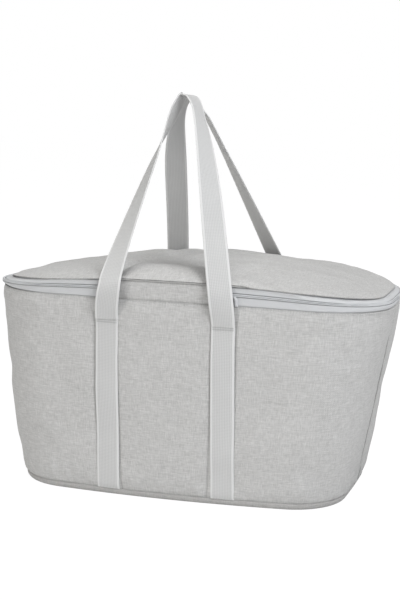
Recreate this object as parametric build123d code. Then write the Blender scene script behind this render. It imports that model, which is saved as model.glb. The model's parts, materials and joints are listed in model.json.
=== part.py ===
"""Insulated cooler bag: a soft oval tub with a zipped, padded lid and two webbing handles.

Millimetres. +Z is up and the origin is the bottom centre. +X is the bag's length. The lid's
fabric hinge is on the -Y side (the hinge side) and the zip sliders meet on the +Y side (the
opening side). Every shell is the same tapering tub, drawn at its own depth under the outside.
"""
from build123d import *
from math import cos, hypot, pi, sin, sqrt
import os

# ---------------------------------------------------------------- driving sizes
RIM_LENGTH = 445.0          # across the ends, at the zip's lower seam
RIM_DEPTH = 247.4           # across the long sides, at the zip's lower seam
RIM_Z = 219.0               # height of that seam at mid-length
BASE_SEAM_Z = 7.3           # where the side panels meet the base panel
END_TAPER = 24.7            # straight part of the taper of each end, rim to floor
END_BULGE = 12.0            # curved part of the same taper
SIDE_BULGE = 9.8            # curved taper of each long side, rim to floor
SIDE_ARC_R = 1110.0         # plan radius of the long sides
END_ARC_R = 1500.0          # plan radius of the ends
RIM_CORNER_R = 89.0         # plan radius of the corners at the rim
BASE_CORNER_R = 62.0        # the same at the floor
UNDERSIDE_ROUND = 6.0       # how far the base panel tucks in below its seam

RIM_DROP = 3.9              # how much lower the zip's lower seam runs at the ends
CHAIN_RISE = 12.3           # rim seam to the zip's teeth, mid-length
CHAIN_DROP = 10.2           # how much lower the teeth run at the ends
LID_RISE = 20.6             # rim seam to the lid seam, mid-length
LID_DROP = 14.6             # how much lower the lid seam runs at the ends
BAND_LEAN = 1.18            # the ends of the zip band lean in this much per unit of height
BAND_FLARE = 0.05           # its long sides lean out this much
LID_EDGE = 3.0              # thickness of the padded lid at its seam
CROWN = 16.7                # how much higher the lid stands in the middle

FABRIC_T = 1.0              # outer fabric
LINING_T = 0.6              # wipe-clean lining film
FOAM_T = 5.0                # insulating foam
BOARD_T = 2.0               # stiffener board in the base
BOARD_MARGIN = 10.0         # base seam to the edge of the board
LAYER_GAP = 0.2             # air between one sewn layer and the next
BINDING_H = 3.0             # tape that finishes the inside of the rim

TAPE_T = 0.8                # zip tape
COIL_T = 1.5                # how far the coil stands out of the tape
COIL_H = 1.6                # one row of teeth
CHAIN_GAP = 1.0             # slit between the two rows that the slider's post runs in
HINGE_HALF = 78.0           # half-length of the fabric hinge between the zip's two ends
END_TAB_W = 4.0             # folded tab over each end of the zip
END_TAB_T = 2.1
SEAM_STRIP_W = 6.0          # lapped seam down each end
SEAM_STRIP_T = 0.8

WEB_W = 25.0                # handle webbing
WEB_T = 1.6
STRAP_X = 64.0              # centre of each strap, each side of the middle
STITCH_DOWN = 23.0          # rim seam down to the cross stitching where the strap comes free
FOLD_UP = 0.4               # lid seam up to where the free handle starts
STAND_OFF = 8.6             # strap to lid edge at that level
APEX_X = -17.0              # the handles stand a little to one side
APEX_Y = 13.0
HANDLE_RISE = 192.7         # handle's start to its top
ROOT_FLARE = 0.3            # slope at which the free strap leaves the side
LEG_IN_X, LEG_IN_Y, LEG_UP = 30.0, 40.0, 80.0   # pull of each leg's start on its curve
APEX_PULL = 25.0            # pull of the top bend on the same curve
TWIST_POWER = 0.8           # how soon the webbing turns on its way up
HINGE_GAP = 0.3             # clearance round each line of folding

SLIDER_X = 9.0              # the two sliders at rest, each side of the middle
SLIDER_L, SLIDER_H = 9.0, 7.0
PLATE_T = 1.0
PLATE_GAP = 0.35
POST_L, POST_T = 3.0, 0.5
BRIDGE_R = 0.7              # bar that the puller hangs on
BRIDGE_SPAN = 6.4           # between the centres of its two feet
EYE_R, EYE_WALL, EYE_W = 1.2, 0.9, 2.8      # the puller's eye round that bar
EYE_CLEAR = 0.3             # eye to plate
PULLER_L, PULLER_W, PULLER_T = 24.0, 6.0, 1.4

# ---------------------------------------------------------------- worked out
RIM_A, RIM_B = RIM_LENGTH / 2, RIM_DEPTH / 2
CHAIN_Z = RIM_Z + CHAIN_RISE
LID_Z = RIM_Z + LID_RISE
STITCH_Z = RIM_Z - STITCH_DOWN
FOLD_Z = LID_Z + FOLD_UP
APEX_Z = FOLD_Z + HANDLE_RISE
RIM_END_Z = RIM_Z - RIM_DROP
REACH = RIM_A + 40          # past every outline, for the blocks that trim them
FOAM_D = FABRIC_T + LAYER_GAP
LINING_D = FOAM_D + FOAM_T + LAYER_GAP
CAVITY_D = LINING_D + LINING_T
BOARD_Z = FABRIC_T + LAYER_GAP
BASE_FOAM_Z = BOARD_Z + BOARD_T + LAYER_GAP
LINING_Z = BASE_FOAM_Z + FOAM_T + LAYER_GAP
LEG_Y = RIM_B + (LID_Z - RIM_Z) * BAND_FLARE + STAND_OFF - WEB_T / 2

os.makedirs("parts", exist_ok=True)


# ---------------------------------------------------------------- outlines
def plan(half_len, half_dep, corner, inset, z):
    """Plan of four big arcs and four rounded corners, moved in by inset."""
    a, b = half_len - inset, half_dep - inset
    side_r, end_r = SIDE_ARC_R - inset, END_ARC_R - inset
    gap = hypot(a - end_r, b - side_r)
    along = (side_r ** 2 - end_r ** 2 + gap ** 2) / (2 * gap)
    off = sqrt(side_r ** 2 - along ** 2)
    ux, uy = (a - end_r) / gap, (side_r - b) / gap
    x, y = ux * along - uy * off, b - side_r + uy * along + ux * off
    if x < 0:
        x, y = ux * along + uy * off, b - side_r + uy * along - ux * off
    arcs = [
        ThreePointArc((-x, -y), (0, -b), (x, -y)),
        ThreePointArc((x, -y), (a, 0), (x, y)),
        ThreePointArc((x, y), (0, b), (-x, y)),
        ThreePointArc((-x, y), (-a, 0), (-x, -y)),
    ]
    face = make_face(Curve() + arcs)
    return Pos(0, 0, z) * fillet(face.vertices(), corner - inset)


def depth_share(z):
    return (RIM_Z - z) / RIM_Z


def side_a(z):
    s = depth_share(z)
    return RIM_A - END_TAPER * s - END_BULGE * s * abs(s)


def side_b(z):
    s = depth_share(z)
    return RIM_B - SIDE_BULGE * s * abs(s)


def corner_at(z):
    return RIM_CORNER_R + (BASE_CORNER_R - RIM_CORNER_R) * depth_share(z)


def tub(inset, low=BASE_SEAM_Z, high=None):
    """The solid inside the bag's wall, moved in by inset, from low to above the rim."""
    top = RIM_Z + 3 if high is None else high
    levels = [low + (top - low) * k / 4 for k in range(5)]
    rings = [plan(side_a(z), side_b(z), corner_at(z), inset, z) for z in levels]
    return loft(rings)


def band(inset):
    """The zip band's outline carried on up over the lid, moved in by inset."""
    end_a = side_a(RIM_END_Z)
    rings = []
    for z in (RIM_END_Z - 6, LID_Z + LID_EDGE + CROWN + 4):
        a = end_a - BAND_LEAN * (z - RIM_END_Z)
        b = RIM_B + BAND_FLARE * (z - RIM_Z)
        rings.append(plan(a, b, RIM_CORNER_R, inset, z))
    return loft(rings, ruled=True)


def bow(z, drop, x):
    """Height at x of a seam that is z high at mid-length and drops towards the ends."""
    return z - drop * (x / RIM_A) ** 2


def bow_arc(z, drop, back=False):
    """That seam as an arc in the XZ plane, past both ends."""
    end = bow(z, drop, REACH)
    points = [(-REACH, end), (0, z), (REACH, end)]
    return ThreePointArc(*(reversed(points) if back else points))


def slab(low, low_drop, high, high_drop):
    """Everything between two bowed levels."""
    lower, upper = bow_arc(low, low_drop), bow_arc(high, high_drop, back=True)
    ends = [Line(lower @ 1, upper @ 0), Line(upper @ 1, lower @ 0)]
    face = make_face(Plane.XZ * (Curve() + [lower, upper] + ends))
    return extrude(face, REACH, both=True)


def under_rim(down=0.0):
    """Everything below the rim's bowed seam, moved down."""
    return slab(-REACH, RIM_DROP, RIM_Z - down, RIM_DROP)


def crown_z(x, y):
    """Top of the lid."""
    end_a = side_a(RIM_END_Z) - BAND_LEAN * (LID_RISE - LID_DROP + RIM_DROP)
    dome = CROWN * (1 - (x / end_a) ** 2) * (1 - (y / RIM_B) ** 2)
    return bow(LID_Z, LID_DROP, x) + LID_EDGE + dome


def under_crown(down):
    """Everything below the lid's top, moved down."""
    half = RIM_B + 6
    sections = []
    for k in range(-3, 4):
        x = k * RIM_A / 3
        edge, mid = crown_z(x, half) - down, crown_z(x, 0) - down
        bottom = BASE_SEAM_Z
        outline = [
            ThreePointArc((-half, edge), (0, mid), (half, edge)),
            Line((half, edge), (half, bottom)),
            Line((half, bottom), (-half, bottom)),
            Line((-half, bottom), (-half, edge)),
        ]
        face = make_face(Curve() + outline)
        sections.append(Plane(origin=(x, 0, 0), x_dir=(0, 1, 0), z_dir=(1, 0, 0)) * face)
    return loft(sections)


def block(x0, x1, y0, y1, z0, z1):
    return Pos((x0 + x1) / 2, (y0 + y1) / 2, (z0 + z1) / 2) * Box(x1 - x0, y1 - y0, z1 - z0)


# ---------------------------------------------------------------- webbing
def bezier(t, p0, p1, p2, p3):
    s = 1 - t
    return s ** 3 * p0 + 3 * s * s * t * p1 + 3 * s * t * t * p2 + t ** 3 * p3


def bezier_dir(t, p0, p1, p2, p3):
    s = 1 - t
    return (3 * s * s * (p1 - p0) + 6 * s * t * (p2 - p1) + 3 * t * t * (p3 - p2)).normalized()


def webbing(stations):
    """Webbing through a list of (centre, direction, width direction)."""
    sections = []
    for centre, along, across in stations:
        plane = Plane(origin=centre, x_dir=across, z_dir=along)
        sections.append(plane * Rectangle(WEB_W, WEB_T))
    return loft(sections)


def leg_curve(hand, side):
    """Control points of a leg: hand is -1 left, +1 right; side is -1 hinge, +1 opening."""
    foot = Vector(hand * STRAP_X, side * LEG_Y, FOLD_Z + HINGE_GAP / 2)
    top = Vector(APEX_X, side * APEX_Y, APEX_Z)
    return (foot, foot + Vector(-hand * LEG_IN_X, -side * LEG_IN_Y, LEG_UP),
            top + Vector(hand * APEX_PULL, 0, 0), top)


def handle_loop(side, steps=8):
    """One whole handle: up the left leg, over the top, down the right leg."""
    stations = []
    for hand in (-1, 1):
        curve = leg_curve(hand, side)
        ts = [k / steps for k in range(steps + 1)]
        for t in ts if hand < 0 else ts[-2::-1]:
            turn = pi / 2 * t ** TWIST_POWER
            along = bezier_dir(t, *curve)
            level = Vector(along.Z, 0, -along.X).normalized()
            cross = along.cross(level)
            across = level * cos(turn) + cross * (hand * sin(turn) * -side)
            across = across if t > 0 else Vector(1, 0, 0)
            facing = along if t > 0 else Vector(0, 0, 1)
            stations.append((bezier(t, *curve), facing * -hand, across * -hand))
    return webbing(stations)


def strap_root(hand, side):
    """The free start of a strap, from the cross stitching up to the lid's level."""
    x = hand * STRAP_X
    low = Vector(x, side * (side_b(STITCH_Z) + HINGE_GAP + WEB_T / 2), STITCH_Z + HINGE_GAP / 2)
    high = Vector(x, side * LEG_Y, FOLD_Z - HINGE_GAP / 2)
    third = (FOLD_Z - STITCH_Z) / 3
    curve = (low, low + Vector(0, side * third * ROOT_FLARE, third),
             high - Vector(0, 0, third), high)
    up, level = Vector(0, 0, 1), Vector(1, 0, 0)
    inner = [(bezier(t, *curve), bezier_dir(t, *curve), level) for t in (0.25, 0.5, 0.75)]
    return webbing([(low, up, level)] + inner + [(high, up, level)])


def sewn_strap(hand, side):
    """Webbing sewn flat to the side, from the base seam to the cross stitching."""
    x = hand * STRAP_X
    strip = block(x - WEB_W / 2, x + WEB_W / 2, *sorted((0, side * REACH)),
                  BASE_SEAM_Z, STITCH_Z - HINGE_GAP / 2)
    return (tub(-WEB_T) - tub(0)) & strip


# ---------------------------------------------------------------- zip
def zip_band(inner, outer, low, low_drop, high, high_drop):
    """A strip of the zip band, from inset inner to inset outer, without the fabric hinge."""
    ring = (band(outer) - band(inner)) & slab(low, low_drop, high, high_drop)
    return ring - block(-HINGE_HALF, HINGE_HALF, -REACH, 0, 0, APEX_Z)


def chain_frame(hand):
    """Plane on the tape at a slider's place: X along the zip, Z out of the bag."""
    radius = SIDE_ARC_R + BAND_FLARE * CHAIN_RISE
    x = hand * SLIDER_X
    y = RIM_B + BAND_FLARE * CHAIN_RISE - x * x / (2 * radius)
    out = Vector(x / radius, 1, 0).normalized()
    return Plane(origin=(x, y, bow(CHAIN_Z, CHAIN_DROP, x)), x_dir=(-out.Y, out.X, 0), z_dir=out)


def bridge_height():
    """Tape's outer face to the centre of the bar that the puller hangs on."""
    return COIL_T + PLATE_GAP + PLATE_T + EYE_CLEAR + EYE_WALL + EYE_R


def slider_body():
    """Front plate, post and back plate of a slider, with the bridge that holds its puller."""
    front = COIL_T + PLATE_GAP
    back = -TAPE_T - PLATE_GAP
    outline = RectangleRounded(SLIDER_L, SLIDER_H, 2)
    body = Pos(0, 0, front) * extrude(outline, PLATE_T)
    body += Pos(0, 0, back - PLATE_T) * extrude(outline, PLATE_T)
    body += Pos(0, 0, (front + back) / 2) * Box(POST_L, POST_T, front - back + PLATE_T)
    bar_z = bridge_height()
    feet = [(-BRIDGE_SPAN / 2, front + PLATE_T - 0.4), (-BRIDGE_SPAN / 2, bar_z),
            (BRIDGE_SPAN / 2, bar_z), (BRIDGE_SPAN / 2, front + PLATE_T - 0.4)]
    path = Plane.XZ * FilletPolyline(*feet, radius=BRIDGE_R * 1.2)
    start = Plane(origin=path @ 0, z_dir=path % 0)
    body += sweep(start * Circle(BRIDGE_R), path)
    return body


def puller_tab():
    """Tab that hangs from the slider's bridge, with its eye round the bar."""
    eye = EYE_R + EYE_WALL
    tab = Pos(0, -EYE_R - EYE_CLEAR - PULLER_L / 2, 0) * RectangleRounded(PULLER_W, PULLER_L, 2.4)
    slot = Pos(0, -PULLER_L + 2.6, 0) * SlotOverall(3.4, 1.8)
    tab = extrude(tab - slot, PULLER_T / 2, both=True)
    knuckle = Cylinder(eye, EYE_W, rotation=(0, 90, 0))
    tab += knuckle
    tab -= Cylinder(EYE_R, EYE_W * 3, rotation=(0, 90, 0))
    return Pos(0, 0, bridge_height()) * tab


# ---------------------------------------------------------------- sub-parts
def side_panels():
    wall = (tub(0) - tub(FABRIC_T, BASE_SEAM_Z - 1)) & under_rim()
    half = block(-REACH, REACH, -REACH, 0, 0, APEX_Z)
    return wall & half, wall - half


def base_panel():
    levels = [(0, 1.0), (BASE_SEAM_Z * 0.3, 0.42), (BASE_SEAM_Z, 0)]
    a, b, r = side_a(BASE_SEAM_Z), side_b(BASE_SEAM_Z), corner_at(BASE_SEAM_Z)
    outer = loft([plan(a, b, r, UNDERSIDE_ROUND * k, z) for z, k in levels])
    inner = loft([plan(a, b, r, UNDERSIDE_ROUND * k + FABRIC_T, z + FABRIC_T) for z, k in levels])
    return outer - inner


def wall_foams():
    low = BASE_SEAM_Z + LAYER_GAP
    wall = tub(FOAM_D, low) - tub(FOAM_D + FOAM_T, low - 1)
    wall &= under_rim(BINDING_H)
    half = block(-REACH, REACH, -REACH, 0, 0, APEX_Z)
    return wall & half, wall - half


def base_layer(inset, z, thickness):
    level = BASE_SEAM_Z
    face = plan(side_a(level), side_b(level), corner_at(level), inset, z)
    return extrude(face, thickness)


def lining_tub():
    shell = tub(LINING_D, LINING_Z) - tub(CAVITY_D, LINING_Z + LINING_T)
    return shell & under_rim(BINDING_H)


def rim_binding():
    ring = tub(FOAM_D, RIM_Z / 2) - tub(CAVITY_D, RIM_Z / 2)
    return ring & slab(RIM_Z - BINDING_H + LAYER_GAP, RIM_DROP, RIM_Z - LAYER_GAP, RIM_DROP)


def seam_strip(hand):
    strip = block(*sorted((0, hand * REACH)), -SEAM_STRIP_W / 2, SEAM_STRIP_W / 2,
                  BASE_SEAM_Z, RIM_Z)
    return (tub(-SEAM_STRIP_T) - tub(0)) & strip & under_rim()


def hinge_band():
    ring = (band(0) - band(TAPE_T)) & slab(RIM_Z, RIM_DROP, LID_Z - HINGE_GAP, LID_DROP)
    inner = HINGE_HALF - HINGE_GAP / 2
    return ring & block(-inner, inner, -REACH, 0, 0, APEX_Z)


def end_tab(hand):
    """Folded tab over one end of the lower zip tape, beside the fabric hinge."""
    x = hand * (HINGE_HALF + END_TAB_W / 2)
    ring = (band(-END_TAB_T) - band(0)) & slab(RIM_Z, RIM_DROP, CHAIN_Z - CHAIN_GAP / 2, CHAIN_DROP)
    return ring & block(x - END_TAB_W / 2, x + END_TAB_W / 2, -REACH, 0, 0, APEX_Z)


def lid_layer(side_inset, top, bottom=None):
    """A layer of the lid between two depths under its top; a cap where bottom is None."""
    above = slab(LID_Z, LID_DROP, LID_Z + 80, LID_DROP)
    if bottom is None:
        cap = band(side_inset) & under_crown(top) & above
        return cap - (band(side_inset + FABRIC_T) & under_crown(top + FABRIC_T))
    return band(side_inset) & (under_crown(top) - under_crown(bottom))


def build_parts():
    parts = {}
    parts["outer_panel_hinge_side"], parts["outer_panel_opening_side"] = side_panels()
    parts["base_panel"] = base_panel()
    parts["base_board"] = base_layer(BOARD_MARGIN, BOARD_Z, BOARD_T)
    parts["base_insulation"] = base_layer(LINING_D, BASE_FOAM_Z, FOAM_T)
    parts["wall_insulation_hinge_side"], parts["wall_insulation_opening_side"] = wall_foams()
    parts["inner_lining"] = lining_tub()
    parts["rim_binding"] = rim_binding()
    parts["hinge_band"] = hinge_band()
    parts["end_seam_left"], parts["end_seam_right"] = seam_strip(-1), seam_strip(1)
    half_gap = CHAIN_GAP / 2
    low_teeth, high_teeth = CHAIN_Z - half_gap, CHAIN_Z + half_gap
    parts["zip_tape_body"] = zip_band(TAPE_T, 0, RIM_Z, RIM_DROP, low_teeth, CHAIN_DROP)
    parts["zip_tape_lid"] = zip_band(TAPE_T, 0, high_teeth, CHAIN_DROP, LID_Z, LID_DROP)
    teeth_low = zip_band(0, -COIL_T, low_teeth - COIL_H, CHAIN_DROP, low_teeth, CHAIN_DROP)
    tab_room = HINGE_HALF + END_TAB_W + LAYER_GAP
    parts["zip_teeth_body"] = teeth_low - block(-tab_room, tab_room, -REACH, 0, 0, APEX_Z)
    teeth_high = zip_band(0, -COIL_T, high_teeth, CHAIN_DROP, high_teeth + COIL_H, CHAIN_DROP)
    parts["zip_teeth_lid"] = teeth_high - block(-tab_room, tab_room, -REACH, 0, 0, APEX_Z)
    parts["zip_end_tab_left"], parts["zip_end_tab_right"] = end_tab(-1), end_tab(1)
    parts["lid_panel"] = lid_layer(0, 0)
    foam_in = FABRIC_T + PLATE_GAP + PLATE_T + LAYER_GAP * 3
    foam_top = FABRIC_T + LAYER_GAP
    film_top = foam_top + FOAM_T + LAYER_GAP
    parts["lid_insulation"] = lid_layer(foam_in, foam_top, foam_top + FOAM_T)
    parts["lid_lining"] = lid_layer(foam_in, film_top, film_top + LINING_T)
    for side, place in ((-1, "hinge_side"), (1, "opening_side")):
        for hand, word in ((-1, "left"), (1, "right")):
            parts[f"sewn_strap_{place}_{word}"] = sewn_strap(hand, side)
            parts[f"strap_root_{place}_{word}"] = strap_root(hand, side)
        parts[f"handle_{place}"] = handle_loop(side)
    for hand, word in ((-1, "left"), (1, "right")):
        frame = chain_frame(hand)
        parts[f"zip_slider_{word}"] = frame * slider_body()
        parts[f"zip_puller_{word}"] = frame * puller_tab()
    return parts


for node, shape in build_parts().items():
    export_step(shape, f"parts/{node}.step")
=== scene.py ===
"""Finished look of an insulated cooler bag, built round its packed construction model.

Lengths are metres in the model's own frame: +X runs along the bag, the lid's fabric hinge is on
the -Y side, the zip sliders meet on the +Y side, and the bag stands on z = 0. Soft pieces are
surfaces of two parameters, worked out as whole arrays and made into closed meshes. Rigid pieces
keep the construction model's shape and only get a finish.
"""
from __future__ import annotations

import json
import logging
import math
from dataclasses import dataclass, field
from enum import Enum
from typing import Callable, Iterator, Sequence

import bmesh
import bpy
import numpy as np
from mathutils import Matrix, Vector

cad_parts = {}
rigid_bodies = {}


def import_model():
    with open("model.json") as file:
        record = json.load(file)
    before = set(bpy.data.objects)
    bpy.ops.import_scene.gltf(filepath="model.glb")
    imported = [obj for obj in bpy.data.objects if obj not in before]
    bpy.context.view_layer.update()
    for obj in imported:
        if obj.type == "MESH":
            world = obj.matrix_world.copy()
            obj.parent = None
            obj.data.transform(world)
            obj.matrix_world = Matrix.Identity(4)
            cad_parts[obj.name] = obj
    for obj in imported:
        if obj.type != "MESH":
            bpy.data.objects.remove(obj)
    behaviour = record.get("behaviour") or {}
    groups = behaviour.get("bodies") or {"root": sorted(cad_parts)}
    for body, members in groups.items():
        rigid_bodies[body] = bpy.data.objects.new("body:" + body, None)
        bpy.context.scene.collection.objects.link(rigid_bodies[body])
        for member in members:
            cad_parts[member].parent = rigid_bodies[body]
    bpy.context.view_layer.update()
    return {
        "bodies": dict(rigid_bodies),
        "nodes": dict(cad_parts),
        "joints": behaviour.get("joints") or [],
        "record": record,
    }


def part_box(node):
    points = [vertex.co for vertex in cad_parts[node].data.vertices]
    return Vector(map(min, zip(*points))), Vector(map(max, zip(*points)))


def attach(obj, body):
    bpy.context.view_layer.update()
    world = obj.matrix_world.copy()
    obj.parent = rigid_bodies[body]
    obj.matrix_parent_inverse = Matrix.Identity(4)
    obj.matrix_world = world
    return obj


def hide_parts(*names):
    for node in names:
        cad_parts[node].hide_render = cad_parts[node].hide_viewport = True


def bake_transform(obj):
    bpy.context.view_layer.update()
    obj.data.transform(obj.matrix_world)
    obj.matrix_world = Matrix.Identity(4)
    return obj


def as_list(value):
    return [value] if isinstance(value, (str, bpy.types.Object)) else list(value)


Array = np.ndarray
Piece, Node, NodeTree = bpy.types.Object, bpy.types.Node, bpy.types.NodeTree
Socket, Material = bpy.types.NodeSocket, bpy.types.Material

LOG = logging.getLogger("cooler_bag")
MM = 0.001
UP = np.array([0.0, 0.0, 1.0])
BAND_HEIGHT = 20.6 * MM  # from the rim seam to the lid seam
TURN_LENGTH = 0.28  # average length of one turn round the bag
WELD = 0.001 * MM  # for points that are the same
SEAM_WELD = 0.01 * MM  # for rows folded onto each other

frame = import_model()


class Side(Enum):
    """A long side of the bag; the value is the sign of its Y."""

    HINGE = -1
    OPENING = 1

    @property
    def place(self) -> str:
        """Word used in node and piece names."""
        return "hinge_side" if self is Side.HINGE else "opening_side"


class Hand(Enum):
    """Left or right along the bag; the value is the sign of its X."""

    LEFT = -1
    RIGHT = 1

    @property
    def word(self) -> str:
        """Word used in node and piece names."""
        return self.name.lower()


# ---- arrays
def smooth(low: float, high: float, value: Array) -> Array:
    """Smoothstep: 0 below low, 1 above high, and 3t^2 - 2t^3 between them."""
    t = np.clip((value - low) / (high - low), 0.0, 1.0)
    return t * t * (3.0 - 2.0 * t)


def bell(value: Array, width: float) -> Array:
    """1 where value is 0, falling to 0 a few widths away on both sides: exp(-(value/width)^2)."""
    return np.exp(-((value / width) ** 2))


def hump(value: Array) -> Array:
    """0 where value is 0, 1 where it is 1, then falling away slowly: value * exp(1 - value)."""
    return value * np.exp(1 - value)


def round_turns(count: int) -> Array:
    """Turns of columns spread evenly right round the bag, from the middle of the hinge side."""
    return np.linspace(0, 4, count, endpoint=False)


def unit(vectors: Array) -> Array:
    """Each vector divided by its own length."""
    return vectors / np.maximum(np.linalg.norm(vectors, axis=-1, keepdims=True), 1e-12)


def square_to(vectors: Array, line: Array) -> Array:
    """Unit vectors with their share along the line's own unit vectors taken out."""
    return unit(vectors - line * (vectors * line).sum(-1, keepdims=True))


def stack(*parts: Array) -> Array:
    """Coordinates from their single parts, which are first spread over one shape."""
    return np.stack(np.broadcast_arrays(*parts), axis=-1)


def grid_normals(grid: Array) -> Array:
    """Normal at each grid point: the cross product of the slopes along rows and columns."""
    return unit(np.cross(np.gradient(grid, axis=1), np.gradient(grid, axis=0)))


def lengths_along(grid: Array) -> Array:
    """Running length of a line of points, or of each column of a grid, from 0 at the start."""
    steps = np.linalg.norm(np.diff(grid, axis=0), axis=-1)
    return np.cumsum(np.insert(steps, 0, 0.0, axis=0), axis=0)


def sheet_area(grid: Array, closed: bool = False) -> float:
    """Area of a grid of points: half the length of the cross product of each quad's diagonals.

    Args:
        grid: rows by columns by 3.
        closed: whether the last column joins the first.
    Returns:
        Square metres.
    """
    if closed:
        grid = np.concatenate([grid, grid[:, :1]], axis=1)
    first = grid[1:, 1:] - grid[:-1, :-1]
    second = grid[1:, :-1] - grid[:-1, 1:]
    return float(np.linalg.norm(np.cross(first, second), axis=-1).sum() / 2)


def spans(coords: Array) -> tuple[float, float]:
    """How far surface coordinates reach across and along."""
    return float(np.ptp(coords[..., 0])), float(np.ptp(coords[..., 1]))


def cut_size(grid: Array, spare: float) -> tuple[float, float]:
    """Length and depth of the flat cloth for a sheet, with something to spare for its seams."""
    low, high = grid.reshape(-1, 3).min(0), grid.reshape(-1, 3).max(0)
    return round(float(high[0] - low[0]) + spare, 3), round(float(high[1] - low[1]) + spare, 3)


def soft_noise(u: Array, v: Array, wave: float, seed: int, waves: int = 14) -> Array:
    """Smooth even noise about 0: a sum of sine waves in seeded directions.

    Args:
        u, v: place of each point.
        wave: about how long the waves are.
        seed: picks their directions, lengths and phases.
        waves: how many are added.
    Returns:
        The noise at each point.
    """
    rng = np.random.default_rng(seed)
    total = np.zeros(np.broadcast(u, v).shape)
    for _ in range(waves):
        angle, phase = rng.uniform(0, math.tau, 2)
        turn = math.tau / (wave * rng.uniform(0.7, 1.6))
        total += np.sin((u * math.cos(angle) + v * math.sin(angle)) * turn + phase)
    return total / math.sqrt(waves)


# ---- meshes
@dataclass
class Patch:
    """Points, quads and surface coordinates that are put together before they become a mesh."""

    points: list[Array] = field(default_factory=list)
    quads: list[Array] = field(default_factory=list)
    coords: list[Array] = field(default_factory=list)
    # Painted shade of each point, kept as the Shade attribute.
    shade: list[Array] = field(default_factory=list)
    count: int = 0

    def add(self, points: Array, quads: Array, coords: Array,
            shade: Array | float = 0.0) -> None:
        """Adds part of a piece.

        Args:
            points: its points, (n, 3).
            quads: its faces, (m, 4), as indices of those points.
            coords: surface coordinates of the points, (n, 2).
            shade: painted shade at each point, darkening the colour along seams, from 0 on open
                cloth to about 1.
        """
        self.points.append(points.reshape(-1, 3))
        self.quads.append(quads.reshape(-1, 4) + self.count)
        self.coords.append(coords.reshape(-1, 2))
        count = len(self.points[-1])
        self.shade.append(np.resize(shade, count))
        self.count += count

    def build(self, name: str, weld: float = 0.0) -> Piece:
        """Makes one object of everything that was added.

        Args:
            name: name of the object.
            weld: distance within which points are merged, or 0 to leave them.
        Returns:
            The new object, linked into the scene, at the origin.
        """
        points = np.concatenate(self.points).astype(np.float32)
        quads = np.concatenate(self.quads).astype(np.int32)
        coords = np.concatenate(self.coords).astype(np.float32)
        mesh = bpy.data.meshes.new(name)
        mesh.vertices.add(len(points))
        mesh.vertices.foreach_set("co", points.ravel())
        mesh.loops.add(quads.size)
        mesh.loops.foreach_set("vertex_index", quads.ravel())
        mesh.polygons.add(len(quads))
        mesh.polygons.foreach_set("loop_start", np.arange(0, quads.size, 4, dtype=np.int32))
        mesh.update(calc_edges=True)
        mesh.uv_layers.new(name="Surface").data.foreach_set("uv", coords[quads.ravel()].ravel())
        # The Shade attribute holds painted shade along seams; the finishes darken their colour by
        # it.
        shade = np.concatenate(self.shade).astype(np.float32)
        mesh.attributes.new("Shade", "FLOAT", "POINT").data.foreach_set("value", shade)
        mesh.validate()
        piece = new_object(name, mesh)
        if weld > 0:
            weld_points(piece, weld)
        mesh.polygons.foreach_set("use_smooth", np.ones(len(mesh.polygons), bool))
        mesh.set_sharp_from_angle(angle=math.radians(50))
        return piece


def new_object(name: str, data: bpy.types.ID) -> Piece:
    """Object at the origin, linked into the scene.

    Args:
        name, data: its name, and its mesh, light or camera data.
    Returns:
        The new object.
    """
    made = bpy.data.objects.new(name, data)
    bpy.context.scene.collection.objects.link(made)
    return made


def weld_points(piece: Piece, distance: float) -> None:
    """Merges points and turns all faces outwards.

    Args:
        piece: object whose mesh is changed.
        distance: points nearer than this are merged.
    """
    work = bmesh.new()
    work.from_mesh(piece.data)
    bmesh.ops.remove_doubles(work, verts=work.verts, dist=distance)
    bmesh.ops.dissolve_degenerate(work, edges=work.edges, dist=distance * 0.1)
    bmesh.ops.recalc_face_normals(work, faces=work.faces)
    work.to_mesh(piece.data)
    work.free()


def grid_quads(rows: int, columns: int, closed: bool = False, flip: bool = False) -> Array:
    """Quads of a grid whose points run row by row.

    Args:
        rows, columns: size of the grid.
        closed: whether the last column joins the first.
        flip: whether the faces look the other way.
    Returns:
        Point indices, (n, 4).
    """
    index = np.arange(rows * columns).reshape(rows, columns)
    right = np.roll(index, -1, axis=1)
    quads = stack(index[:-1], right[:-1], right[1:], index[1:])
    quads = quads if closed else quads[:, :-1]
    return (quads[..., ::-1] if flip else quads).reshape(-1, 4)


def ring_of(rows: int, columns: int) -> Array:
    """Indices round the border of a grid, in order."""
    index = np.arange(rows * columns).reshape(rows, columns)
    return np.concatenate([index[0, :-1], index[:-1, -1], index[-1, :0:-1], index[:0:-1, 0]])


def shut(grid: Array) -> Array:
    """The grid with its last row folded exactly onto itself, front half against back half."""
    opposite = (grid.shape[1] // 2 - np.arange(grid.shape[1])) % grid.shape[1]
    return np.concatenate([grid[:-1], (grid[-1:] + grid[-1:, opposite]) / 2])


def shell(outer: Array, inner: Array, coords: Array, shade: Array | float = 0.0,
          closed: bool = False) -> Patch:
    """Closed sheet of cloth between an outer and an inner grid of the same shape.

    Args:
        outer: points of the face that looks out, rows by columns by 3.
        inner: points of the face behind it.
        coords: surface coordinates of both.
        shade: painted shade at each point of the grid, dark along seams.
        closed: whether the columns run right round; then the last row folds onto itself, and
            welding shuts it.
    Returns:
        A patch that holds the sheet.
    """
    if closed:
        outer, inner = shut(outer), shut(inner)
    rows, columns = outer.shape[:2]
    count = rows * columns
    rim = np.arange(columns) if closed else ring_of(rows, columns)
    after = np.roll(rim, -1)
    edge = stack(rim, rim + count, after + count, after)
    patch = Patch()
    patch.add(np.concatenate([outer.reshape(-1, 3), inner.reshape(-1, 3)]),
              np.concatenate([grid_quads(rows, columns, closed),
                              grid_quads(rows, columns, closed, flip=True) + count, edge]),
              np.concatenate([coords, coords]), np.broadcast_to(shade, (rows, columns)))
    return patch


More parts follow.
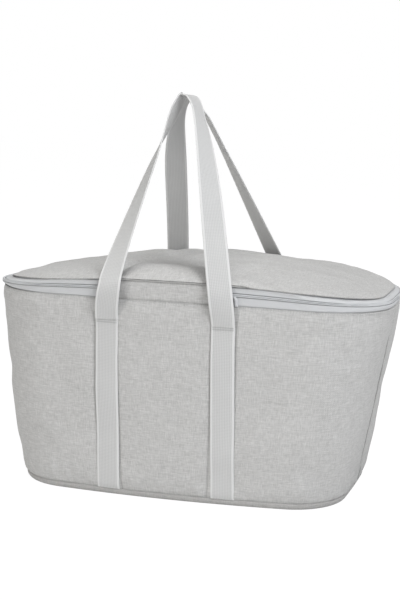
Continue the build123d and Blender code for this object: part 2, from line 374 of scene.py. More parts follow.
def tube(rings: Array, coords: Array, shade: Array | float = 0.0) -> Patch:
    """Closed tube through rings of points; each end is shut by quads across the ring.

    Args:
        rings: stations by an even number of points round each one by 3.
        coords: surface coordinates of the same points.
        shade: painted shade at each point, dark along seams.
    Returns:
        A patch that holds the tube.
    """
    stations, around = rings.shape[:2]
    sides = grid_quads(stations, around, closed=True)
    half = np.arange(around // 2 - 1)
    cap = stack(half, around - 1 - half, around - 2 - half, half + 1)
    last = (stations - 1) * around
    patch = Patch()
    patch.add(rings, np.concatenate([sides, cap, cap[:, ::-1] + last]), coords, shade)
    return patch


# ---- form of the bag
@dataclass(frozen=True)
class BagForm:
    """Outside form of the tub, the zip band over it and the lid seam.

    The plan at every level is four big arcs joined by four rounded corners. A place round it is
    a turn: 0 at the middle of the hinge side, 1 at the right end, 2 at the middle of the opening
    side, 3 at the left end and 4 back at the start.
    """

    half_length: float
    half_depth: float
    rim_z: float
    base_z: float
    lid_z: float
    side_arc: float = 1.110
    end_arc: float = 1.500
    rim_corner: float = 0.089
    base_corner: float = 0.062
    inset_left: tuple[float, ...] = (2.6, 28.9, -17.4, 22.4)
    inset_right: tuple[float, ...] = (0.0, 33.0, 7.0, 0.0)
    side_bulge: float = 0.0098
    rim_drop: float = 0.0039
    lid_drop: float = 0.0146
    rim_tilt: float = 0.0024
    lid_tilt: float = 0.0020
    lean: tuple[float, float] = (0.95, 0.80)
    puff: tuple[float, float] = (0.0085, 0.0042)
    band_flare: float = 0.05
    sag: float = 0.0055
    corner_share: float = 0.53
    end_share: float = 0.13

    @classmethod
    def from_frame(cls) -> "BagForm":
        """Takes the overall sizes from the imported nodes.

        Returns:
            The bag's form.
        """
        panel_low, panel_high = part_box("outer_panel_hinge_side")
        hinge_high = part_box("hinge_band")[1]
        tape_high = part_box("zip_tape_body")[1]
        rise = (tape_high.z - panel_high.z) * cls.band_flare
        return cls(half_length=(panel_high.x - panel_low.x) / 2, half_depth=tape_high.y - rise,
                   rim_z=panel_high.z, base_z=panel_low.z, lid_z=hinge_high.z + 0.3 * MM)

    def quarter(self, a: Array, b: Array, corner: Array, share: Array) -> tuple[Array, Array]:
        """Point of one quarter of the plan: end arc, corner arc, then side arc.

        The corner's centre lies where two circles about the arcs' centres cross, each smaller
        than its arc by the corner's radius; the arcs meet it at the angles of that centre.

        Args:
            a, b: half-length and half-depth at each point.
            corner: corner radius at each point.
            share: 0 at the middle of the end, 1 at the middle of the side.
        Returns:
            x and y, both positive.
        """
        end_x, side_y = a - self.end_arc, b - self.side_arc
        gap = np.hypot(end_x, side_y)
        reach_s, reach_e = self.side_arc - corner, self.end_arc - corner
        along = (reach_s ** 2 - reach_e ** 2 + gap ** 2) / (2 * gap)
        off = np.sqrt(reach_s ** 2 - along ** 2)
        ux, uy = end_x / gap, -side_y / gap
        centre_x = ux * along + uy * off
        centre_y = side_y + uy * along - ux * off
        angle_e = np.arctan2(centre_y, centre_x - end_x)
        angle_s = np.arctan2(centre_y - side_y, centre_x)
        end_part = np.clip(share / self.end_share, 0, 1) * angle_e
        corner_t = np.clip((share - self.end_share) / (self.corner_share - self.end_share), 0, 1)
        corner_part = angle_e + corner_t * (angle_s - angle_e)
        side_t = np.clip((share - self.corner_share) / (1 - self.corner_share), 0, 1)
        side_part = angle_s + side_t * (math.pi / 2 - angle_s)
        on_end, on_side = share <= self.end_share, share >= self.corner_share
        x = np.where(on_end, end_x + self.end_arc * np.cos(end_part),
                     np.where(on_side, self.side_arc * np.cos(side_part),
                              centre_x + corner * np.cos(corner_part)))
        y = np.where(on_end, self.end_arc * np.sin(end_part),
                     np.where(on_side, side_y + self.side_arc * np.sin(side_part),
                              centre_y + corner * np.sin(corner_part)))
        return x, y

    def plan(self, a: Array, b: Array, corner: Array, turn: Array) -> tuple[Array, Array]:
        """Point of the whole plan: the quarter's point with the signs of the turn's quadrant.

        Args:
            a, b, corner: half-length, half-depth and corner radius at each point.
            turn: place round the plan.
        Returns:
            x and y.
        """
        turn = np.mod(turn, 4.0)
        share = np.abs(np.mod(turn, 2.0) - 1.0)
        x, y = self.quarter(a, b, corner, share)
        return np.where(turn < 2, x, -x), np.where((turn < 1) | (turn >= 3), -y, y)

    def depth_share(self, z: Array) -> Array:
        """How far below the rim a level is, as a share of the rim's height."""
        return (self.rim_z - z) / self.rim_z

    def right_share(self, turn: Array) -> Array:
        """1 at the right end, 0 at the left end, and smooth between them."""
        return 0.5 + 0.5 * np.sin(turn * math.pi / 2)

    def end_inset(self, z: Array, turn: Array) -> Array:
        """How far in the end nearer to a turn lies: a cubic of the depth share.

        Args:
            z: height of each point.
            turn: place round the bag.
        Returns:
            The inset in metres.
        """
        share, right = self.depth_share(z), self.right_share(turn)
        cubics = [sum(c * share ** k for k, c in enumerate(inset))
                  for inset in (self.inset_left, self.inset_right)]
        return (cubics[0] + (cubics[1] - cubics[0]) * right) * MM

    def wall(self, turn: Array, z: Array) -> Array:
        """The tub's outside: the plan, with its sizes cut by inset, bulge and corner at each level.

        Args:
            turn: place round the bag.
            z: height.
        Returns:
            Points of the outside.
        """
        share = self.depth_share(z)
        a = self.half_length - self.end_inset(z, turn)
        b = self.half_depth - self.side_bulge * share * np.abs(share)
        corner = self.rim_corner + (self.base_corner - self.rim_corner) * share
        x, y = self.plan(a, b, corner, turn)
        return stack(x, y, z)

    def seam_height(self, rise: Array, x: Array) -> Array:
        """Height of a line on the band: parabolas of x, and a tilt towards the right end.

        Args:
            rise: 0 at the rim seam and 1 at the lid seam.
            x: place along the bag.
        Returns:
            Height of each point.
        """
        mid = self.rim_z + rise * (self.lid_z - self.rim_z)
        drop = self.rim_drop + rise * (self.lid_drop - self.rim_drop)
        share = x / self.half_length
        tilt = (1 - rise) * self.rim_tilt * share * np.abs(share)
        return mid - drop * share ** 2 - tilt - rise * self.lid_tilt * smooth(0.55, 1.0, share)

    def band(self, turn: Array, rise: Array, out: float = 0.0) -> Array:
        """Point of the zip band: its height depends on x, so both are found in a few rounds.

        Args:
            turn: place round the bag.
            rise: 0 at the rim seam, 1 at the lid seam.
            out: distance by which the plan is moved outwards.
        Returns:
            Points, with the shape of turn and rise together.
        """
        turn, rise = np.broadcast_arrays(turn, rise)
        end_z = self.rim_z - self.rim_drop
        z = self.rim_z + rise * (self.lid_z - self.rim_z)
        right = self.right_share(turn)
        lean, puff = (pair[0] + (pair[1] - pair[0]) * right for pair in (self.lean, self.puff))
        foot = self.end_inset(self.rim_z, turn)
        puff = puff * np.sin(math.pi * np.clip(rise, 0, 1)) ** 1.2 - foot
        for _ in range(6):
            a = self.half_length - lean * (z - end_z) + puff
            b = self.half_depth + self.band_flare * (z - self.rim_z)
            x, y = self.plan(a + out, b + out, self.rim_corner + out, turn)
            z = self.seam_height(rise, x) - rise * self.sag * self.back_left(turn)
        return stack(x, y, z)

    @staticmethod
    def back_left(turn: Array) -> Array:
        """1 round the left corner of the opening side, where the lid sags, and 0 elsewhere."""
        turn = np.mod(turn, 4.0)
        return smooth(2.15, 2.60, turn) * (1 - smooth(2.85, 3.30, turn))

    def turn_at(self, x: float) -> float:
        """Turn at which the middle of the hinge side's band passes a place, by halving.

        Args:
            x: place along the bag.
        Returns:
            The turn, negative on the left.
        """
        low, high = (0.0, 0.9) if x >= 0 else (-0.9, 0.0)
        for _ in range(40):
            mid = (low + high) / 2
            if self.band(mid, 0.5)[0] < x:
                low = mid
            else:
                high = mid
        return (low + high) / 2

    def seam_end(self) -> tuple[float, float]:
        """Half-length and half-depth of the lid seam."""
        return float(self.band(1.0, 1.0)[0]), float(self.band(2.0, 1.0)[1])


# ---- finishes
class Graph:
    """Adds and links the nodes of one material or node group."""

    def __init__(self, tree: NodeTree) -> None:
        """Keeps the tree that nodes are added to."""
        self.tree = tree

    def node(self, kind: str, inputs: dict | None = None, **settings: object) -> Node:
        """Adds a node.

        Args:
            kind: the node's type, less the word ShaderNode at its start.
            inputs: value or socket for each input, by name or number.
            settings: properties of the node.
        Returns:
            The new node.
        """
        made = self.tree.nodes.new("ShaderNode" + kind)
        for key, value in settings.items():
            setattr(made, key, value)
        for key, value in (inputs or {}).items():
            if isinstance(value, Socket):
                self.tree.links.new(value, made.inputs[key])
            else:
                made.inputs[key].default_value = value
        return made

    def math(self, operation: str, *values: object) -> Socket:
        """Result of a Math node on one, two or three values or sockets."""
        made = self.node("Math", dict(enumerate(values)), operation=operation)
        return made.outputs[0]

    def ramp(self, value: object, low: float, high: float, first: float = 0.0,
             last: float = 1.0) -> Socket:
        """Value taken from the range low to high to the range first to last, and held there."""
        ends = {0: value, 1: low, 2: high, 3: first, 4: last}
        return self.node("MapRange", ends).outputs[0]

    def vector(self, operation: str, *values: object) -> Socket:
        """Result of a Vector Math node on vectors or sockets."""
        made = self.node("VectorMath", dict(enumerate(values)), operation=operation)
        return made.outputs[0]

    def mix(self, share: object, first: object, second: object) -> Socket:
        """Mixes two colours.

        Args:
            share: 0 for the first colour, 1 for the second.
            first, second: colours or sockets.
        Returns:
            Socket with the mixed colour.
        """
        made = self.node("Mix", data_type="RGBA")
        for key, value in ((0, share), (6, first), (7, second)):
            if isinstance(value, Socket):
                self.tree.links.new(value, made.inputs[key])
            else:
                made.inputs[key].default_value = value if key == 0 else (*value, 1.0)
        return made.outputs[2]

    def noise(self, where: Socket, scale: Sequence[float], detail: float = 2.0,
              rough: float = 0.5) -> Socket:
        """Noise over a surface.

        Args:
            where: place of each point.
            scale: 1 over the length of the grain in each direction.
            detail, rough: how much fine grain is added, and how strong it is.
        Returns:
            Socket with noise from 0 to 1.
        """
        spot = self.vector("MULTIPLY", where, tuple(scale))
        made = self.node("TexNoise", {"Vector": spot, "Scale": 1.0, "Detail": detail,
                                      "Roughness": rough})
        return made.outputs["Fac"]

    def seen_as(self, true: Node, seen: Node, share: float, output: str) -> None:
        """Puts one shader in another's place for rays from the camera.

        Args:
            true: shader that lights and shades the scene.
            seen: shader that the camera sees.
            share: how much of it the camera sees.
            output: name of the tree's output node.
        """
        ray = self.node("LightPath").outputs["Is Camera Ray"]
        ends = {0: self.math("MULTIPLY", ray, share), 1: true.outputs[0], 2: seen.outputs[0]}
        mixed = self.node("MixShader", ends)
        self.tree.links.new(mixed.outputs[0], self.tree.nodes[output].inputs["Surface"])


def group(name: str, inputs: dict[str, float | None], outputs: Sequence[str],
          fill: Callable[[Graph, Node], dict[str, Socket]]) -> NodeTree:
    """Builds a shader node group once, with named sockets.

    Args:
        name: group's name.
        inputs: default of each input number by its name, or None for an input vector.
        outputs: names of the output numbers.
        fill: adds the nodes and returns the socket behind each output.
    Returns:
        The group, the same one each time it is asked for.
    """
    if name in bpy.data.node_groups:
        return bpy.data.node_groups[name]
    tree = bpy.data.node_groups.new(name, "ShaderNodeTree")
    for title, default in inputs.items():
        kind = "NodeSocketVector" if default is None else "NodeSocketFloat"
        socket = tree.interface.new_socket(title, in_out="INPUT", socket_type=kind)
        if default is not None:
            socket.default_value = default
    for title in outputs:
        tree.interface.new_socket(title, in_out="OUTPUT", socket_type="NodeSocketFloat")
    graph = Graph(tree)
    start, end = tree.nodes.new("NodeGroupInput"), tree.nodes.new("NodeGroupOutput")
    for title, socket in fill(graph, start).items():
        tree.links.new(socket, end.inputs[title])
    return tree


def melange_group() -> NodeTree:
    """Plain weave of flecked yarn: streaks along both threads, and the threads' own relief.

    Returns:
        The group.
    """

    def fill(g: Graph, start: Node) -> dict[str, Socket]:
        """Streaks of noise along both threads, and sines for the threads themselves.

        Args:
            g, start: the group's graph and its input node.
        Returns:
            The socket behind each output.
        """
        where, pitch, slub = (start.outputs[k] for k in ("Place", "Pitch", "Slub"))
        fine, long = g.math("DIVIDE", 0.95, pitch), g.math("DIVIDE", 1.0, slub)
        across = g.node("CombineXYZ", {0: long, 1: fine, 2: 1.0}).outputs[0]
        upright = g.node("CombineXYZ", {0: fine, 1: long, 2: 1.0}).outputs[0]
        streaks = []
        for scale, shift in ((across, 3.7), (upright, 9.1)):
            moved = g.vector("ADD", g.vector("MULTIPLY", where, scale), (shift, shift, shift))
            made = g.node("TexNoise", {"Vector": moved, "Scale": 1.0, "Detail": 3.0,
                                       "Roughness": 0.72})
            streaks.append(made.outputs["Fac"])
        fleck = g.math("MULTIPLY", g.math("ADD", streaks[0], streaks[1]), 0.5)
        tone = g.ramp(fleck, 0.34, 0.66)
        spot = g.node("SeparateXYZ", {0: where}).outputs
        turn = g.math("DIVIDE", math.pi, pitch)
        warp = g.math("SINE", g.math("MULTIPLY", spot[0], turn))
        weft = g.math("SINE", g.math("MULTIPLY", spot[1], turn))
        knots = g.math("MULTIPLY", warp, weft)
        threads = g.math("ADD", g.math("MULTIPLY", knots, 0.35), fleck)
        return {"Tone": tone, "Height": threads}

    return group("Melange weave", {"Place": None, "Pitch": 0.6 * MM, "Slub": 8 * MM},
                 ("Tone", "Height"), fill)


def ribbing_group() -> NodeTree:
    """Relief of webbing: ribs along it and picks across it, flat at the two selvedges.

    Returns:
        The group.
    """

    def fill(g: Graph, start: Node) -> dict[str, Socket]:
        """Cosines for ribs and picks, and a flat strip at each edge.

        Args:
            g, start: the group's graph and its input node.
        Returns:
            The socket behind each output.
        """
        where, rib, pick, half = (start.outputs[k] for k in ("Place", "Rib", "Pick", "Half width"))
        spot = g.node("SeparateXYZ", {0: where}).outputs
        across = g.math("ABSOLUTE", spot[0])
        selvedge = g.ramp(g.math("DIVIDE", across, half), 0.83, 0.87)
        ribs = g.math("COSINE", g.math("MULTIPLY", spot[0], g.math("DIVIDE", math.tau, rib)))
        picks = g.math("COSINE", g.math("MULTIPLY", spot[1], g.math("DIVIDE", math.tau, pick)))
        relief = g.math("ADD", g.math("MULTIPLY", ribs, 0.30), g.math("MULTIPLY", picks, 0.20))
        body = g.math("MULTIPLY", g.math("ADD", relief, 0.5), g.math("SUBTRACT", 1.0, selvedge))
        height = g.math("ADD", body, g.math("MULTIPLY", selvedge, 0.75))
        return {"Height": height, "Selvedge": selvedge}

    return group("Webbing ribs", {"Place": None, "Rib": 1.35 * MM, "Pick": 1.2 * MM,
                                  "Half width": 12.5 * MM}, ("Height", "Selvedge"), fill)


def handling_group() -> NodeTree:
    """Slow changes of tone over cloth that has been cut, sewn and handled.

    Returns:
        The group.
    """

    def fill(g: Graph, start: Node) -> dict[str, Socket]:
        """1 plus slow noise about 0.

        Args:
            g, start: the group's graph and its input node.
        Returns:
            The socket behind each output.
        """
        where, size, amount = (start.outputs[k] for k in ("Place", "Size", "Amount"))
        scale = g.math("DIVIDE", 1.0, size)
        even = g.node("CombineXYZ", {0: scale, 1: scale, 2: scale}).outputs[0]
        made = g.node("TexNoise", {"Vector": g.vector("MULTIPLY", where, even),
                                   "Scale": 1.0, "Detail": 3.0, "Roughness": 0.55})
        swing = g.math("SUBTRACT", made.outputs["Fac"], 0.5)
        return {"Factor": g.math("ADD", 1.0, g.math("MULTIPLY", swing, amount))}

    return group("Handled tone", {"Place": None, "Size": 80 * MM, "Amount": 0.1}, ("Factor",),
                 fill)


@dataclass(frozen=True)
class Finish:
    """A material: what all finishes of the bag have in common.

    Each one fills a Principled BSDF. Patterns read the piece's own surface coordinates, in
    metres, or Object coordinates on rigid pieces.
    """

    name: str
    slot: str
    colour: tuple[float, float, float]
    roughness: float = 0.85
    sheen: float = 0.0
    metallic: float = 0.0
    on_surface: bool = True
    # How strongly the painted shade along seams, the Shade attribute, darkens the colour.
    seam: float = 0.42

    def build(self) -> Material:
        """Starts a material, gives its shader the plain values, and adds the pattern.

        Returns:
            The material.
        """
        material = bpy.data.materials.new(self.name)
        material.use_nodes = True
        graph = Graph(material.node_tree)
        shader = material.node_tree.nodes["Principled BSDF"]
        plain = {"Roughness": self.roughness, "Metallic": self.metallic,
                 "Sheen Weight": self.sheen, "Sheen Roughness": 0.6,
                 "Specular IOR Level": 0.25 if self.sheen else 0.5}
        for key, value in plain.items():
            shader.inputs[key].default_value = value
        if self.on_surface:
            place = graph.node("UVMap", uv_map="Surface").outputs[0]
        else:
            place = graph.node("TexCoord").outputs["Object"]
        self.pattern(graph, shader, place)
        return material

    def tinted(self, g: Graph, shader: Node, colour: Socket, place: Socket, size: float,
               amount: float) -> None:
        """Feeds a colour to Base Color, changed by handling and darkened by painted shade along the
        seams.

        Args:
            g, shader: the material's graph and its Principled BSDF.
            colour: the colour of the clean surface.
            place: place of each point.
            size, amount: how long and how strong the slow changes of tone are.
        """
        made = g.node("Group", {"Place": place, "Size": size, "Amount": amount},
                      node_tree=handling_group())
        # Painted shade: the Shade attribute darkens the colour along seams.
        shade = g.node("Attribute", attribute_name="Shade").outputs["Fac"]
        kept = g.math("SUBTRACT", 1.0, g.math("MULTIPLY", shade, self.seam))
        factor = g.math("MULTIPLY", made.outputs["Factor"], kept)
        scaled = g.node("VectorMath", {0: colour, "Scale": factor}, operation="SCALE")
        g.tree.links.new(scaled.outputs[0], shader.inputs["Base Color"])

    def bump(self, g: Graph, shader: Node, height: Socket, depth: float,
             strength: float = 1.0) -> None:
        """Relief of that depth on the shader's normal."""
        made = g.node("Bump", {"Strength": strength, "Distance": depth, "Height": height})
        g.tree.links.new(made.outputs[0], shader.inputs["Normal"])

    def material(self) -> Material:
        """The material, made the first time it is asked for."""
        return bpy.data.materials.get(self.name) or self.build()

    def pattern(self, g: Graph, shader: Node, place: Socket) -> None:
        """Adds the finish's own nodes.

        Args:
            g: the material's graph.
            shader: its Principled BSDF.
            place: place of each point.
        """
        raise NotImplementedError

    def dress(self, piece: Piece) -> None:
        """Puts the finish on a piece.

        Args:
            piece: the piece to dress.
        """
        piece.data.materials.clear()
        piece.data.materials.append(self.material())


@dataclass(frozen=True)
class MelangeCloth(Finish):
    """Flecked plain-weave cloth, from its light yarn's colour to its dark one's."""

    dark: tuple[float, float, float] = (0.4, 0.39, 0.38)
    pitch: float = 0.0009
    slub: float = 0.009
    mottle: float = 0.08

    def pattern(self, g: Graph, shader: Node, place: Socket) -> None:
        """Weave tone between the two yarns, with relief of threads and flecks.

        Args:
            g, shader, place: as in Finish.
        """
        weave = g.node("Group", {"Place": place, "Pitch": self.pitch,
                                 "Slub": self.slub}, node_tree=melange_group())
        colour = g.mix(weave.outputs["Tone"], self.dark, self.colour)
        self.tinted(g, shader, colour, place, 0.06, self.mottle)
        self.bump(g, shader, weave.outputs["Height"], 0.35 * MM, 0.6)


@dataclass(frozen=True)
class Webbing(Finish):
    """Ribbed webbing with smooth selvedges; its colour has painted shade in the rib valleys and a
    painted highlight on the selvedges.
    """

    # Selvedge colour, lighter than the ribbed cloth: a painted highlight on the rounded edges.
    edge: tuple[float, float, float] = (0.665, 0.665, 0.660)
    rib: float = 1.75 * MM
    pick: float = 1.60 * MM

    def pattern(self, g: Graph, shader: Node, place: Socket) -> None:
        """Painted shade darkens the ribs' valleys, and the selvedges stay plain, with a painted
        highlight.

        Args:
            g, shader, place: as in Finish.
        """
        ribs = g.node("Group", {"Place": place, "Rib": self.rib, "Pick": self.pick},
                      node_tree=ribbing_group())
        # Painted shade in the rib valleys.
        painted_valley_shade = tuple(0.76 * c for c in self.colour)
        cloth = g.mix(ribs.outputs["Height"], painted_valley_shade, self.colour)
        colour = g.mix(ribs.outputs["Selvedge"], cloth, self.edge)
        self.tinted(g, shader, colour, place, 0.03, 0.05)
        self.bump(g, shader, ribs.outputs["Height"], 0.35 * MM, 0.8)


@dataclass(frozen=True)
class TapeCloth(Finish):
    """Tight woven zip tape or binding: fine ribs across it."""

    pitch: float = 0.5 * MM
    mottle: float = 0.04

    def pattern(self, g: Graph, shader: Node, place: Socket) -> None:
        """Fine picks give a little relief, and painted shade where they sink.

        Args:
            g, shader, place: as in Finish.
        """
        spot = g.node("SeparateXYZ", {0: place}).outputs
        turn = math.tau / self.pitch
        along = g.math("SINE", g.math("MULTIPLY", spot[0], turn))
        up = g.math("SINE", g.math("MULTIPLY", spot[1], turn))
        relief = g.math("ADD", g.math("MULTIPLY", g.math("MULTIPLY", along, up), 0.5), 0.5)
        # Painted shade: darker where the picks sink.
        colour = g.mix(relief, tuple(0.95 * c for c in self.colour), self.colour)
        self.tinted(g, shader, colour, place, 0.02, self.mottle)
        self.bump(g, shader, relief, 0.12 * MM, 0.5)


@dataclass(frozen=True)
class Moulded(Finish):
    """Moulded or cast surface with fine grain: coil, plates, board, thread."""

    grain: float = 0.4 * MM
    depth: float = 0.03 * MM
    mottle: float = 0.05

    def pattern(self, g: Graph, shader: Node, place: Socket) -> None:
        """Fine noise for relief and for a little change of gloss.

        Args:
            g, shader, place: as in Finish.
        """
        fine = g.noise(place, (1 / self.grain,) * 3)
        base = g.mix(fine, tuple(0.97 * c for c in self.colour), self.colour)
        self.tinted(g, shader, base, place, 0.01, self.mottle)
        gloss = g.ramp(fine, 0.3, 0.7, self.roughness - 0.06, self.roughness + 0.06)
        g.tree.links.new(gloss, shader.inputs["Roughness"])
        self.bump(g, shader, fine, self.depth, 0.5)


@dataclass(frozen=True)
class Foam(Finish):
    """Closed-cell foam: small round cells."""

    cell: float = 1.2 * MM

    def pattern(self, g: Graph, shader: Node, place: Socket) -> None:
        """Voronoi cells, with painted shade in their pits.

        Args:
            g, shader, place: as in Finish.
        """
        cells = g.node("TexVoronoi", {"Vector": place, "Scale": 1 / self.cell})
        # Painted shade in the cells' pits.
        colour = g.mix(cells.outputs["Distance"], self.colour, tuple(0.8 * c for c in self.colour))
        self.tinted(g, shader, colour, place, 0.03, 0.06)
        self.bump(g, shader, cells.outputs["Distance"], -0.3 * MM, 0.6)


@dataclass(frozen=True)
class Film(Finish):
    """Wipe-clean film heat-sealed over cloth: satin, with shallow creases and cloth grain."""

    def pattern(self, g: Graph, shader: Node, place: Socket) -> None:
        """Creases from stretched noise change relief and gloss, and put painted shade in their
        hollows.

        Args:
            g, shader, place: as in Finish.
        """
        crease = g.noise(place, (45.0, 60.0, 45.0), 4.0, 0.6)
        grain = g.noise(place, (900.0, 900.0, 900.0), 1.0)
        relief = g.math("ADD", crease, g.math("MULTIPLY", grain, 0.06))
        # Painted shade in the crease hollows.
        base = g.mix(crease, tuple(0.9 * c for c in self.colour), self.colour)
        self.tinted(g, shader, base, place, 0.1, 0.05)
        gloss = g.ramp(crease, 0.3, 0.7, self.roughness + 0.1, self.roughness - 0.08)
        g.tree.links.new(gloss, shader.inputs["Roughness"])
        self.bump(g, shader, relief, 1.2 * MM, 0.55)


BODY_CLOTH = MelangeCloth("Body melange cloth", "melange_fabric", (0.620, 0.615, 0.604),
                          sheen=0.12, dark=(0.385, 0.382, 0.375))
# The body's melange painted darker for the base: painted shade on the rounded base edge, which
# faces down.
BASE_CLOTH_PAINTED_SHADE = MelangeCloth("Base melange cloth", "melange_fabric", (0.520, 0.512, 0.500),
                          sheen=0.12, dark=(0.350, 0.343, 0.334))
STRAP_CLOTH = Webbing("Handle webbing", "webbing", (0.635, 0.635, 0.630), sheen=0.08)
ZIP_CLOTH = TapeCloth("Zip tape cloth", "zip_tape", (0.590, 0.597, 0.606), sheen=0.05)
BINDING_CLOTH = TapeCloth("Binding cloth", "binding_tape", (0.520, 0.520, 0.520), pitch=0.8 * MM)
COIL_NYLON = Moulded("Zip coil nylon", "zip_teeth", (0.640, 0.650, 0.660), roughness=0.45)
THREAD = Moulded("Sewing thread", "webbing", (0.560, 0.560, 0.555), roughness=0.6)
ZIP_METAL = Moulded("Zip slider enamel", "zip_metal", (0.600, 0.610, 0.620), roughness=0.32,
                    on_surface=False, depth=0.015 * MM)
STIFFENER = Moulded("Stiffener board plastic", "board", (0.060, 0.060, 0.065), roughness=0.55,
                    on_surface=False, grain=1.5 * MM)
FOAM_CELLS = Foam("Insulating foam", "foam", (0.720, 0.720, 0.710), on_surface=False)
LINING_FILM = Film("Lining film", "lining_film", (0.560, 0.575, 0.600), roughness=0.38)


def seat(patch: Patch, name: str, finish: Finish, node: str, body: str | None,
         weld: float = 0.0) -> Piece:
    """Makes a piece that stands in a node's place.

    Args:
        patch: the piece's points and quads.
        name: the piece's name.
        finish: what it is made of.
        node: construction node that it replaces.
        body: body that it rides on, or None when it is blended between two afterwards.
        weld: distance within which its points are merged.
    Returns:
        The new piece.
    """
    piece = patch.build(name, weld)
    finish.dress(piece)
    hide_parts(node)
    if body is not None:
        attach(piece, body)
    return piece


# ---- cloth over the form
@dataclass(frozen=True)
class Relief:
    """How far sewn cloth stands off its smooth form, in metres outwards.

    The cloth dips into each seam, swells just beside it, puckers along it, and waves slowly in
    between. The slow waves fade out towards seams, so that neighbours still meet.
    """

    dip: float = 0.85 * MM
    dip_reach: float = 1.7 * MM
    swell: float = 0.7 * MM
    swell_at: float = 9.0 * MM
    pucker: float = 0.28 * MM
    pucker_wave: float = 13.0 * MM
    wave: float = 1.1 * MM
    wave_length: float = 0.125
    ripple: float = 0.30 * MM
    ripple_length: float = 0.040
    seed: int = 5

    def seam(self, distance: Array, along: Array, seed: int = 0) -> Array:
        """Dip, swell and puckers beside a seam.

        Args:
            distance: how far each point is from the seam.
            along: place along the seam.
            seed: picks the puckers.
        Returns:
            Relief in metres.
        """
        fold = soft_noise(along, 0.2 * distance, self.pucker_wave, self.seed + 31 + seed)
        swell = (self.swell + self.pucker * fold) * hump(distance / self.swell_at)
        return swell - self.dip * bell(distance, self.dip_reach)

    def field(self, u: Array, v: Array, clear: Array) -> Array:
        """Slow waves, which fade out towards the seams.

        Args:
            u, v: place on the cloth.
            clear: distance to the nearest seam.
        Returns:
            Relief in metres.
        """
        fade = smooth(0.0, 0.035, clear)
        slow = soft_noise(u, v, self.wave_length, self.seed) * self.wave
        quick = soft_noise(u, v, self.ripple_length, self.seed + 7) * self.ripple
        return fade * (slow + quick)


def between(places: Array, count: int, blur: float) -> Array:
    """Matrix that spreads values known at some places of a row softly over all its points.

    Args:
        places: points of the row whose values are known.
        count: number of points in the row.
        blur: how far the values are averaged on each side, less near the two ends.
    Returns:
        Weights, count by len(places).
    """
    spots = np.arange(count)
    reach = np.minimum(blur, np.minimum(spots, count - 1 - spots))
    return np.stack([np.mean([np.interp(spots + share * reach, places, unit_row)
                              for share in np.linspace(-1, 1, 5)], axis=0)
                     for unit_row in np.eye(len(places))], axis=1)


@dataclass(frozen=True)
class Settling:
    """Sewn cloth over padding, left to settle: Cloth on a coarse copy of the piece's grid.

    The cloth is cut a little larger than its form, held at its seams and pushed out by the
    padding. Only its movement outwards is kept, and it can't exceed the cap.
    """

    pressure: float = 2.0
    slack: float = 0.025
    cap: float = 2.2 * MM
    spacing: tuple[int, int] = (3, 4)
    frames: int = 20

    def coarse(self, count: int, spacing: int) -> Array:
        """Rows or columns of the coarse copy, with the first and the last."""
        return np.unique(np.append(np.arange(0, count, spacing), count - 1))

    def settle(self, grid: Array, held: Array) -> Array:
        """Lets a piece's cloth settle.

        Args:
            grid: points of the smooth outside, rows by columns; the ends may meet.
            held: 1 where a seam holds the cloth, 0 where it is free.
        Returns:
            Movement of each point of the grid along its normal, within the cap.
        """
        rows, columns = (self.coarse(n, k) for n, k in zip(grid.shape, self.spacing))
        pick = np.ix_(rows, columns)
        spots, place = np.unique(grid[pick].reshape(-1, 3).round(6), axis=0, return_inverse=True)
        place = place.reshape(-1)
        quads = place[grid_quads(len(rows), len(columns))]
        ordered = np.sort(quads, axis=1)
        quads = quads[(np.diff(ordered, axis=1) > 0).all(axis=1)]
        hold = np.zeros(len(spots))
        np.maximum.at(hold, place, held[pick].reshape(-1))
        moved = self.run(spots, quads, hold)
        normal = grid_normals(grid[pick])
        out = ((moved - spots)[place].reshape(normal.shape) * normal).sum(-1)
        out = self.cap * np.tanh(out / self.cap)
        high, wide = (between(places, count, spacing) for places, count, spacing
                      in zip((rows, columns), grid.shape, self.spacing))
        return high @ out @ wide.T

    def run(self, spots: Array, quads: Array, hold: Array) -> Array:
        """Steps the cloth.

        Args:
            spots: points of the coarse copy.
            quads: its faces.
            hold: how firmly each point is held.
        Returns:
            Where the points end.
        """
        scene = bpy.context.scene
        mesh = bpy.data.meshes.new("Settling")
        mesh.from_pydata(spots.tolist(), [], quads.tolist())
        piece = new_object("Settling", mesh)
        seams = piece.vertex_groups.new(name="Seams")
        for level in np.unique(hold.round(1))[1:]:
            seams.add(np.flatnonzero(hold.round(1) == level).tolist(), float(level), "REPLACE")
        cloth = piece.modifiers.new("Cloth", "CLOTH")
        settings = cloth.settings
        settings.vertex_group_mass = "Seams"
        settings.use_pressure, settings.uniform_pressure_force = True, self.pressure
        settings.shrink_min = -self.slack
        settings.effector_weights.gravity = 0.0
        cloth.collision_settings.use_collision = False
        cloth.point_cache.frame_start, cloth.point_cache.frame_end = 1, self.frames
        for frame in range(1, self.frames + 1):
            scene.frame_set(frame)
        shown = piece.evaluated_get(bpy.context.evaluated_depsgraph_get())
        moved = np.empty(len(spots) * 3)
        shown.data.vertices.foreach_get("co", moved)
        scene.frame_set(1)
        bpy.data.objects.remove(piece)
        bpy.data.meshes.remove(mesh)
        moved = moved.reshape(-1, 3)
        LOG.info("settled %d points, at most %.1f mm", len(spots),
                 np.abs(moved - spots).max() / MM)
        return moved


